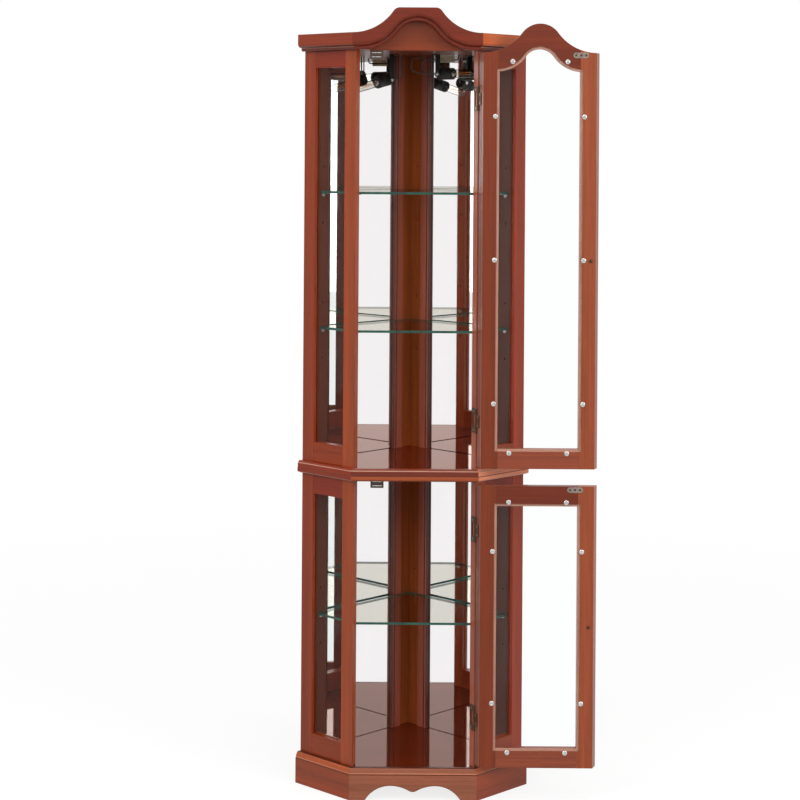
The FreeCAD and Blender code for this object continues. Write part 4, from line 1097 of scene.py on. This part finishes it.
@dataclass
class DoorHardware(Assembly):
    """The buttons, strike and knob of one door, and the screws of its hinges.

    Attributes:
        section: the door's cupboard.
        button: a button's profile, in shares of its radius and height.
        screw: that of a strike's screw, in shares of its radius and the plate's thickness.
        arris: how far the edges of the knob and the leaves are rounded.
    """

    section: Section
    button: Profile = (
        (1.0, 0.0), (1.0, 0.3), (0.93, 0.5), (0.74, 0.72), (0.56, 0.76),
        (0.54, 0.62), (0.5, 0.62), (0.44, 0.92), (0.3, 0.99), (0.0, 1.0),
    )
    screw: Profile = ((1.0, 0.0), (1.0, 0.2), (0.6, 0.38), (0.0, 0.4))
    arris: float = 0.35 * MM

    @property
    def body(self) -> str:
        """Return the door's body."""
        return f"{self.section.value}_door"

    def build(self) -> None:
        """Make the buttons, strike and screws, and dress the knob and the hinge leaves."""
        door = self.body
        self.buttons()
        self.strike()
        LeafScrews(
            f"{door}_leaf_screws", door, f"{door}_hinge_leaves", f"{door}_hinge",
            turn=202.5, spot=(0.5, 9.0), rise=9.7,
        ).build(self)
        for name in ("knob", "hinge_leaves"):
            self.dress(f"{door}_{name}", Finishes.DARK, self.arris)

    def buttons(self) -> None:
        """Replace the plain buttons with domed ones that have a screw head in the middle."""
        node = f"{self.body}_buttons"
        form = Form()
        for low, high in self.solids(node):
            scale = ((high.x - low.x) / 2, high.y - low.y)
            form.turned(self.button, mounted(low, high), steps=28, scale=scale)
        bright = self.coats(Finishes.BRIGHT)
        form.piece(f"{self.body}_round_buttons", self.body, bright, "bright_metal", [node])

    def strike(self) -> None:
        """Replace the plain strike with a rimmed plate and three screw heads."""
        node = f"{self.body}_strike"
        low, high = map(Vector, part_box(node))
        length, width, depth = high.x - low.x, high.z - low.z, high.y - low.y
        place = mounted(low, high)
        outline = rounded(length, width, width / 2 * 0.98, steps=10)
        form = Form()
        form.extruded(outline, depth * 0.75, place, arris=depth * 0.3)
        for share in (-0.32, 0.0, 0.32):
            head = place @ Matrix.Translation((share * length, 0.0, depth * 0.6))
            form.turned(self.screw, head, 1, steps=20, scale=(width * 0.2, depth))
        finishes = self.coats(Finishes.PLATE, Finishes.DARK)
        form.piece(f"{self.body}_strike_plate", self.body, finishes, "dark_metal", [node])


@dataclass
class Fittings(Assembly):
    """The clips, catches and fixed hinge leaves inside the cabinet.

    Attributes:
        arris: how far the edges of the clips and the leaves are rounded.
        case: the radius of a catch's corners and of its edges.
        pole: the thickness of a pole plate and the radius of its corners and edges.
    """

    arris: float = 0.3 * MM
    case: tuple[float, float] = (1.6 * MM, 0.6 * MM)
    pole: Vec = (1.6 * MM, 0.4 * MM, 0.2 * MM)

    def build(self) -> None:
        """Dress the clips and the leaves, make their screws and replace the catches."""
        self.dress("shelf_clips", Finishes.BRIGHT, self.arris)
        self.dress("hinge_jamb_leaves", Finishes.DARK, self.arris)
        LeafScrews(
            "jamb_leaf_screws", "cabinet", "hinge_jamb_leaves", "upper_door_hinge",
            turn=22.5, spot=(-0.5, 12.5), rise=21.5,
        ).build(self)
        self.catches()

    def catches(self) -> None:
        """Replace the plain catches with a case and two pole plates."""
        corner, edge = self.case
        thickness, bend, arris = self.pole
        form = Form()
        for low, high in self.solids("door_catches"):
            size, place = high - low, mounted(low, high)
            form.extruded(rounded(size.x, size.z, corner, 4), size.y * 0.94, place, 0, edge)
            pole = rounded(size.x * 0.72, thickness, bend, 2)
            for share in (-0.24, 0.24):
                plate = place @ Matrix.Translation((0.0, share * size.z, size.y * 0.3))
                form.extruded(pole, size.y * 0.7, plate, 1, arris)
        finishes = self.coats(Finishes.CATCH, Finishes.BRIGHT)
        form.piece("magnetic_catches", "cabinet", finishes, "catch_plastic", ["door_catches"])


@dataclass
class Lamp(Assembly):
    """One lamp: a ribbed socket with a tubular bulb.

    Its profiles are in millimetres: the radius, and the place along the lamp from its pivot.

    Attributes:
        side: the side that it hangs on.
        yaw: the turn of its axis from +X, in degrees.
        tip: how far it hangs below level, in degrees.
        rear: the socket's rear.
        ribbed: its ribbed middle.
        collar: its front.
        mouth: its pale face.
        neck: the bulb's neck.
        stem: the stem inside it.
        nut: the nut of the strap.
        dome: the radius of the bulb's domed end and its place.
        groove: how deep the grooves between the ribs are.
        out: how far the nut is from the pivot.
        wire: the reach of the looped wire, its foot and the places of its lower and upper ends.
    """

    side: Side
    yaw: float
    tip: float
    rear: Profile = (
        (5.88, -8.0), (12.6, -8.0), (14.0, -6.8), (14.0, 5.0), (13.02, 6.0), (13.02, 8.0)
    )
    ribbed: Profile = ((12.6, 7.5), (13.86, 8.5), (13.86, 22.32), (12.6, 23.32))
    collar: Profile = ((12.32, 21.6), (14.0, 23.76), (14.0, 35.0), (13.3, 36.0), (12.4, 36.0))
    mouth: Profile = ((12.6, 35.2), (12.4, 35.6), (8.0, 35.6), (8.0, 24.0))
    neck: Profile = ((7.2, 28.3), (7.2, 37.3), (10.0, 41.3))
    stem: Profile = (
        (6.88, 26.3), (6.88, 36.3), (4.0, 37.9), (2.2, 39.3), (1.6, 46.3), (0.0, 48.3)
    )
    nut: Profile = (
        (4.6, 0.0), (4.6, 0.5), (3.6, 0.7), (3.5, 1.5),
        (2.9, 1.8), (1.8, 1.8), (1.6, 1.0), (0.0, 1.0),
    )
    dome: tuple[float, float] = (10.0, 104.0)
    groove: float = 1.1 * MM
    out: float = 16.2 * MM
    wire: tuple[float, float, float, float] = (3.6 * MM, 45.3 * MM, 52.3 * MM, 92.0 * MM)

    @property
    def body(self) -> str:
        """Return the lamp's body."""
        return f"{self.side.value}_lamp"

    @property
    def axis(self) -> Matrix:
        """Return the place whose local Z runs along the lamp from its pivot."""
        turn = Matrix.Rotation(math.radians(self.yaw), 4, "Z")
        tilt = Matrix.Rotation(math.radians(self.tip + 90.0), 4, "Y")
        return Matrix.Translation(self.pivot(f"{self.body}_tilt")) @ turn @ tilt

    def build(self) -> None:
        """Make the socket, the nut of its strap, the bulb and what is inside it."""
        self.socket()
        self.fasten()
        self.bulb()
        self.inside()

    def socket(self) -> None:
        """Replace the plain socket with a ribbed one that has a pale face."""
        axis, form = self.axis, Form()
        form.turned(self.rear, axis)
        form.turned(self.ribbed, axis, steps=120, ribs=20, groove=self.groove)
        form.turned(self.collar, axis)
        form.turned(self.mouth, axis, 1)
        name, node = f"{self.side.value}_ribbed_socket", f"{self.body}_socket"
        finishes = self.coats(Finishes.BLACK, Finishes.FACE)
        form.piece(name, self.body, finishes, "black_plastic", [node])

    def fasten(self) -> None:
        """Make the bright nut that the lamp's pin has on the room side of the strap."""
        room = Vector((HALF if self.side is Side.LEFT else -HALF, -HALF, 0.0))
        place = facing(self.pivot(f"{self.body}_tilt") + room * self.out, room)
        form = Form()
        form.turned(self.nut, place, steps=36)
        form.piece(f"{self.body}_nut", "cabinet", self.coats(Finishes.BRIGHT), "bright_metal")

    def bulb(self) -> None:
        """Replace the plain bulb with a glass tube that has a domed end."""
        (radius, end), steps = self.dome, 8
        dome = []
        for number in range(steps):
            turn = math.pi / 2 * number / steps
            dome.append((radius * math.cos(turn), end - radius + radius * math.sin(turn)))
        form = Form()
        form.turned((*self.neck, *dome, (0.0, end)), self.axis)
        name, node = f"{self.side.value}_bulb_tube", f"{self.body}_bulb"
        form.piece(name, self.body, self.coats(Finishes.BULB), "bulb_glass", [node])

    def inside(self) -> None:
        """Make the bulb's stem and the looped wire on its supports."""
        axis, form = self.axis, Form()
        form.turned(self.stem, axis, steps=32)
        (reach, foot, *ends), bends = self.wire, 8
        corners = []
        for number in range(bends):
            turn = math.tau * number / bends
            corner = (reach * math.cos(turn), reach * math.sin(turn), ends[number % 2])
            corners.append(axis @ Vector(corner))
        for one, two in zip(corners, corners[1:]):
            rod(form, one, two, 0.3 * MM)
        for corner in corners[:: bends // 2]:
            rod(form, axis @ Vector((0.0, 0.0, foot)), corner, 0.35 * MM)
        finishes = self.coats(Finishes.CAP, Finishes.WIRE)
        form.piece(f"{self.side.value}_bulb_inside", self.body, finishes, "bulb_glass")


def rod(form: Form, start: Vector, end: Vector, radius: float) -> None:
    """Add a thin straight wire in the form's second finish.

    Args:
        form: the form that takes it.
        start: one end.
        end: the other end.
        radius: its radius.
    """
    run = end - start
    profile = ((0.0, 0.0), (radius, radius), (radius, run.length - radius), (0.0, run.length))
    form.turned(profile, facing(start, run), 1, steps=8, scale=(1.0, 1.0))


@dataclass
class Strand:
    """One strand of the lamp lead, from the ceiling to a lamp, in millimetres.

    Attributes:
        name: the piece's name.
        depth: its place along Y.
        route: its points as X and the height from the ceiling.
        length: its real length.
    """

    name: str
    depth: float
    route: Profile
    length: float

    RADIUS = 1.5 * MM

    def build(self, ceiling: float, finish: bpy.types.Material) -> None:
        """Make the strand as one smooth line.

        Args:
            ceiling: the height of the ceiling's underside.
            finish: its material.
        """
        data = bpy.data.curves.new(self.name, "CURVE")
        data.dimensions = "3D"
        data.bevel_depth = self.RADIUS
        data.bevel_resolution = 5
        data.resolution_u = 16
        data.use_fill_caps = True
        spline = data.splines.new("NURBS")
        spline.points.add(len(self.route) - 1)
        for point, (x, z) in zip(spline.points, self.route):
            point.co = (x * MM, self.depth * MM, ceiling + z * MM, 1.0)
        spline.order_u = 3
        spline.use_endpoint_u = True
        data.materials.append(finish)
        piece = added(self.name, data)
        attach(piece, "cabinet")
        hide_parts("lamp_lead")
        LOG.info("laid %s, %.1f mm long", self.name, self.length)


@dataclass
class Wiring(Assembly):
    """The three strands of the lead, the blank tag and the straps of the lamps.

    Its lengths are in millimetres, and its points are X and the height from the ceiling.

    Attributes:
        right_depth: the place along Y of the right lamp's strands.
        left_depth: that of the left lamp's strand.
        outer: the outer strand to the right lamp.
        inner: the inner strand to it.
        left: the strand to the left lamp.
        tag: the tag's lowest and highest corner.
        curl: how far the tag stands off the strand, and how much more in its middle.
    """

    right_depth: float = -148.96
    left_depth: float = -143.54
    outer: Profile = (
        (20.0, 0.0), (20.0, -9.0), (11.0, -9.0), (-7.5, -9.0), (-7.5, -48.0), (51.3, -48.0)
    )
    inner: Profile = (
        (107.0, 0.0), (107.0, -12.0), (95.0, -12.0), (50.5, -12.0),
        (18.5, -12.0), (18.5, -44.0), (51.3, -44.0),
    )
    left: Profile = ((-32.0, 0.0), (-32.0, -38.7), (-32.0, -59.2), (-52.5, -59.2))
    tag: Profile = ((59.0, -18.5), (97.0, -0.8))
    curl: tuple[float, float] = (1.5, 0.5)

    @property
    def ceiling(self) -> float:
        """Return the height of the ceiling's underside."""
        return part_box("ceiling_board")[0][2]

    def build(self) -> None:
        """Make the strands and the tag, and dress the straps."""
        ceiling, cord = self.ceiling, self.finishes.get(Finishes.CORD)
        Strand("lead_outer_strand", self.right_depth, self.outer, 117.5).build(ceiling, cord)
        Strand("lead_inner_strand", self.right_depth, self.inner, 152.4).build(ceiling, cord)
        Strand("lead_left_strand", self.left_depth, self.left, 75.8).build(ceiling, cord)
        self.hang()
        self.dress("lamp_brackets", Finishes.BLACK_METAL, 0.5 * MM)

    def hang(self) -> None:
        """Hang the blank tag, slightly curled, on the long strand."""
        (left, low), (right, high) = self.tag
        gap, bulge = self.curl
        columns, rows = 12, 6
        shape = bmesh.new()
        grid = []
        for row in range(rows + 1):
            z = low + (high - low) * row / rows
            line = []
            for column in range(columns + 1):
                x = left + (right - left) * column / columns
                curl = bulge * math.sin(math.pi * column / columns) * (1 - row / rows)
                y = self.right_depth - gap - curl
                line.append(shape.verts.new((x * MM, y * MM, self.ceiling + z * MM)))
            grid.append(line)
        for under, over in zip(grid, grid[1:]):
            for one in range(columns):
                shape.faces.new((under[one], under[one + 1], over[one + 1], over[one]))
        bmesh.ops.solidify(shape, geom=shape.faces[:], thickness=0.3 * MM)
        form, card = Form(), self.coats(Finishes.CARD)
        form.take(shape, Matrix.Identity(4))
        form.piece("lead_tag", "cabinet", card, "black_cord", ["lamp_lead"])


# Studio --------------------------------------------------------------------------


@dataclass(frozen=True)
class StudioCamera:
    """The level camera, given in pixels of a square picture.

    Attributes:
        place: where it stands.
        focal: its focal length, in pixels.
        centre: where its axis meets the picture, from the upper left, in pixels.
        roll: how far it is turned about its axis, in radians.
        pixels: the picture's side.
        sensor: the sensor's width in millimetres.
        lift: how much of its height stays with it when a view is turned, so that the
            shifted frame still holds the whole cabinet.
    """

    place: Vec = (-0.1527, -4.9246, 1.4910)
    focal: float = 1996.5
    centre: tuple[float, float] = (348.0, 143.6)
    roll: float = 0.0068
    pixels: float = 800.0
    sensor: float = 36.0
    lift: float = 0.667

    def build(self) -> None:
        """Make the camera and set it as the scene's."""
        data = bpy.data.cameras.new("studio_camera")
        data.sensor_fit = "HORIZONTAL"
        data.sensor_width = self.sensor
        data.lens = self.focal / self.pixels * self.sensor
        right = 0.5 - self.centre[0] / self.pixels
        down = self.centre[1] / self.pixels - 0.5
        data.shift_x = right * math.cos(self.roll) + down * math.sin(self.roll)
        data.shift_y = down * math.cos(self.roll) - right * math.sin(self.roll)
        data.clip_start = 0.05
        data.clip_end = 60.0
        camera = added("studio_camera", data)
        camera.delta_location.z = self.lift
        level = Matrix.Rotation(math.pi / 2, 4, "X") @ Matrix.Rotation(self.roll, 4, "Z")
        camera.matrix_world = Matrix.Translation(Vector(self.place)) @ level
        bpy.context.scene.camera = camera


@dataclass(frozen=True)
class SoftLight:
    """A large soft lamp that points at the cabinet.

    Attributes:
        name: its name.
        place: where it stands.
        target: where it points.
        size: its side.
        power: its power in watts.
        mirrored: whether gloss and mirrors show it.
    """

    name: str
    place: Vec
    target: Vec
    size: float
    power: float
    mirrored: bool = True

    def build(self) -> None:
        """Make the lamp."""
        data = bpy.data.lights.new(self.name, "AREA")
        data.shape = "SQUARE"
        data.size = self.size
        data.energy = self.power
        lamp = added(self.name, data)
        lamp.matrix_world = facing(self.place, Vector(self.place) - Vector(self.target))
        lamp.visible_glossy = self.mirrored


@dataclass(frozen=True)
class Studio:
    """The floor, the white surround, the lamps and the camera.

    Attributes:
        fill: how strongly the surround lights matt surfaces.
        floor: the floor's display colour for light that it passes on.
        near: its display colour to the eye, over a glow.
        glow: how strong that glow is near the cabinet.
        fade: how far from the origin the floor starts and ends turning white.
        reach: half the floor's side.
    """

    fill: float = 0.6
    floor: Colour = (161.0, 161.0, 160.0)
    near: Colour = (130.0, 130.0, 130.0)
    glow: float = 0.8
    fade: tuple[float, float] = (1.0, 3.2)
    reach: float = 14.0

    LIGHTS = (
        SoftLight("key", (-2.6, -3.8, 3.0), (0.0, -0.3, 0.9), 2.4, 66.0),
        SoftLight("side", (3.0, -3.0, 2.2), (0.0, -0.3, 0.9), 2.0, 54.0),
        SoftLight("front", (0.2, -5.2, 1.9), (0.0, -0.3, 0.9), 2.4, 30.0, mirrored=False),
        SoftLight("top", (0.0, -1.6, 4.2), (0.0, -0.3, 0.6), 2.6, 34.0),
    )

    def build(self) -> None:
        """Make everything that isn't part of the cabinet."""
        self.surround()
        self.ground()
        for light in self.LIGHTS:
            light.build()
        StudioCamera().build()
        bpy.context.scene.view_settings.view_transform = "Standard"

    def surround(self) -> None:
        """Make the surround white to the eye and in gloss, and a soft light elsewhere."""
        graph = Graph(bpy.data.worlds.new("surround"))
        path = graph.add("LightPath")
        seen = graph.maths("MAXIMUM", path["Is Camera Ray"], path["Is Glossy Ray"])
        clear = graph.maths("MAXIMUM", seen, path["Is Transmission Ray"])
        white = graph.add("Background", {"Color": WHITE, "Strength": 1.0})[0]
        soft = graph.add("Background", {"Color": WHITE, "Strength": self.fill})[0]
        bpy.context.scene.world = graph.close(graph.mixed(clear, soft, white))

    def paint(self) -> bpy.types.Material:
        """Return the floor's material, which is white in mirrors and far away."""
        graph = Graph(bpy.data.materials.new("floor"))
        where = graph.local()
        dust = graph.noise(where, 6.0, detail=4.0)
        colour = graph.mottled(dust, self.floor, 0.99, 1.01)
        matt = graph.add("BsdfDiffuse", {"Color": colour})[0]
        soft = graph.add("BsdfDiffuse", {"Color": srgb(*self.near)})[0]
        lift = graph.add("Emission", {"Color": WHITE, "Strength": self.glow})[0]
        white = graph.add("Emission", {"Color": WHITE, "Strength": 1.0})[0]
        near = graph.add("AddShader", {0: soft, 1: lift})[0]
        away = graph.add("VectorMath", {0: where}, operation="LENGTH")["Value"]
        fade = graph.add("MapRange", {0: away, 1: self.fade[0], 2: self.fade[1]})[0]
        path = graph.add("LightPath")
        direct = graph.mixed(path["Is Camera Ray"], matt, graph.mixed(fade, near, white))
        mirrored = graph.maths("MAXIMUM", path["Is Glossy Ray"], path["Is Transmission Ray"])
        return graph.close(graph.mixed(mirrored, direct, white))

    def ground(self) -> None:
        """Lay the pale floor, which takes the cabinet's shadow."""
        shape = bmesh.new()
        bmesh.ops.create_grid(shape, x_segments=8, y_segments=8, size=self.reach)
        data = bpy.data.meshes.new("floor")
        shape.to_mesh(data)
        shape.free()
        data.materials.append(self.paint())
        added("floor", data)


# Main ----------------------------------------------------------------------------


def empty_scene() -> None:
    """Remove whatever the scene starts with."""
    for thing in list(bpy.data.objects):
        bpy.data.objects.remove(thing)


def main() -> None:
    """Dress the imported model, build the rest of it and light it."""
    logging.basicConfig(level=logging.INFO, format="%(name)s: %(message)s")
    empty_scene()
    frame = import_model()
    finishes = Finishes()
    Joinery(frame, finishes).build()
    Glazing(frame, finishes).build()
    for section in Section:
        DoorHardware(frame, finishes, section).build()
    Fittings(frame, finishes).build()
    Lamp(frame, finishes, Side.LEFT, yaw=-135.0, tip=13.0).build()
    Lamp(frame, finishes, Side.RIGHT, yaw=-45.0, tip=0.0).build()
    Wiring(frame, finishes).build()
    Studio().build()
    LOG.info("made %d finishes", len(finishes.made))


if __name__ == "__main__":
    main()
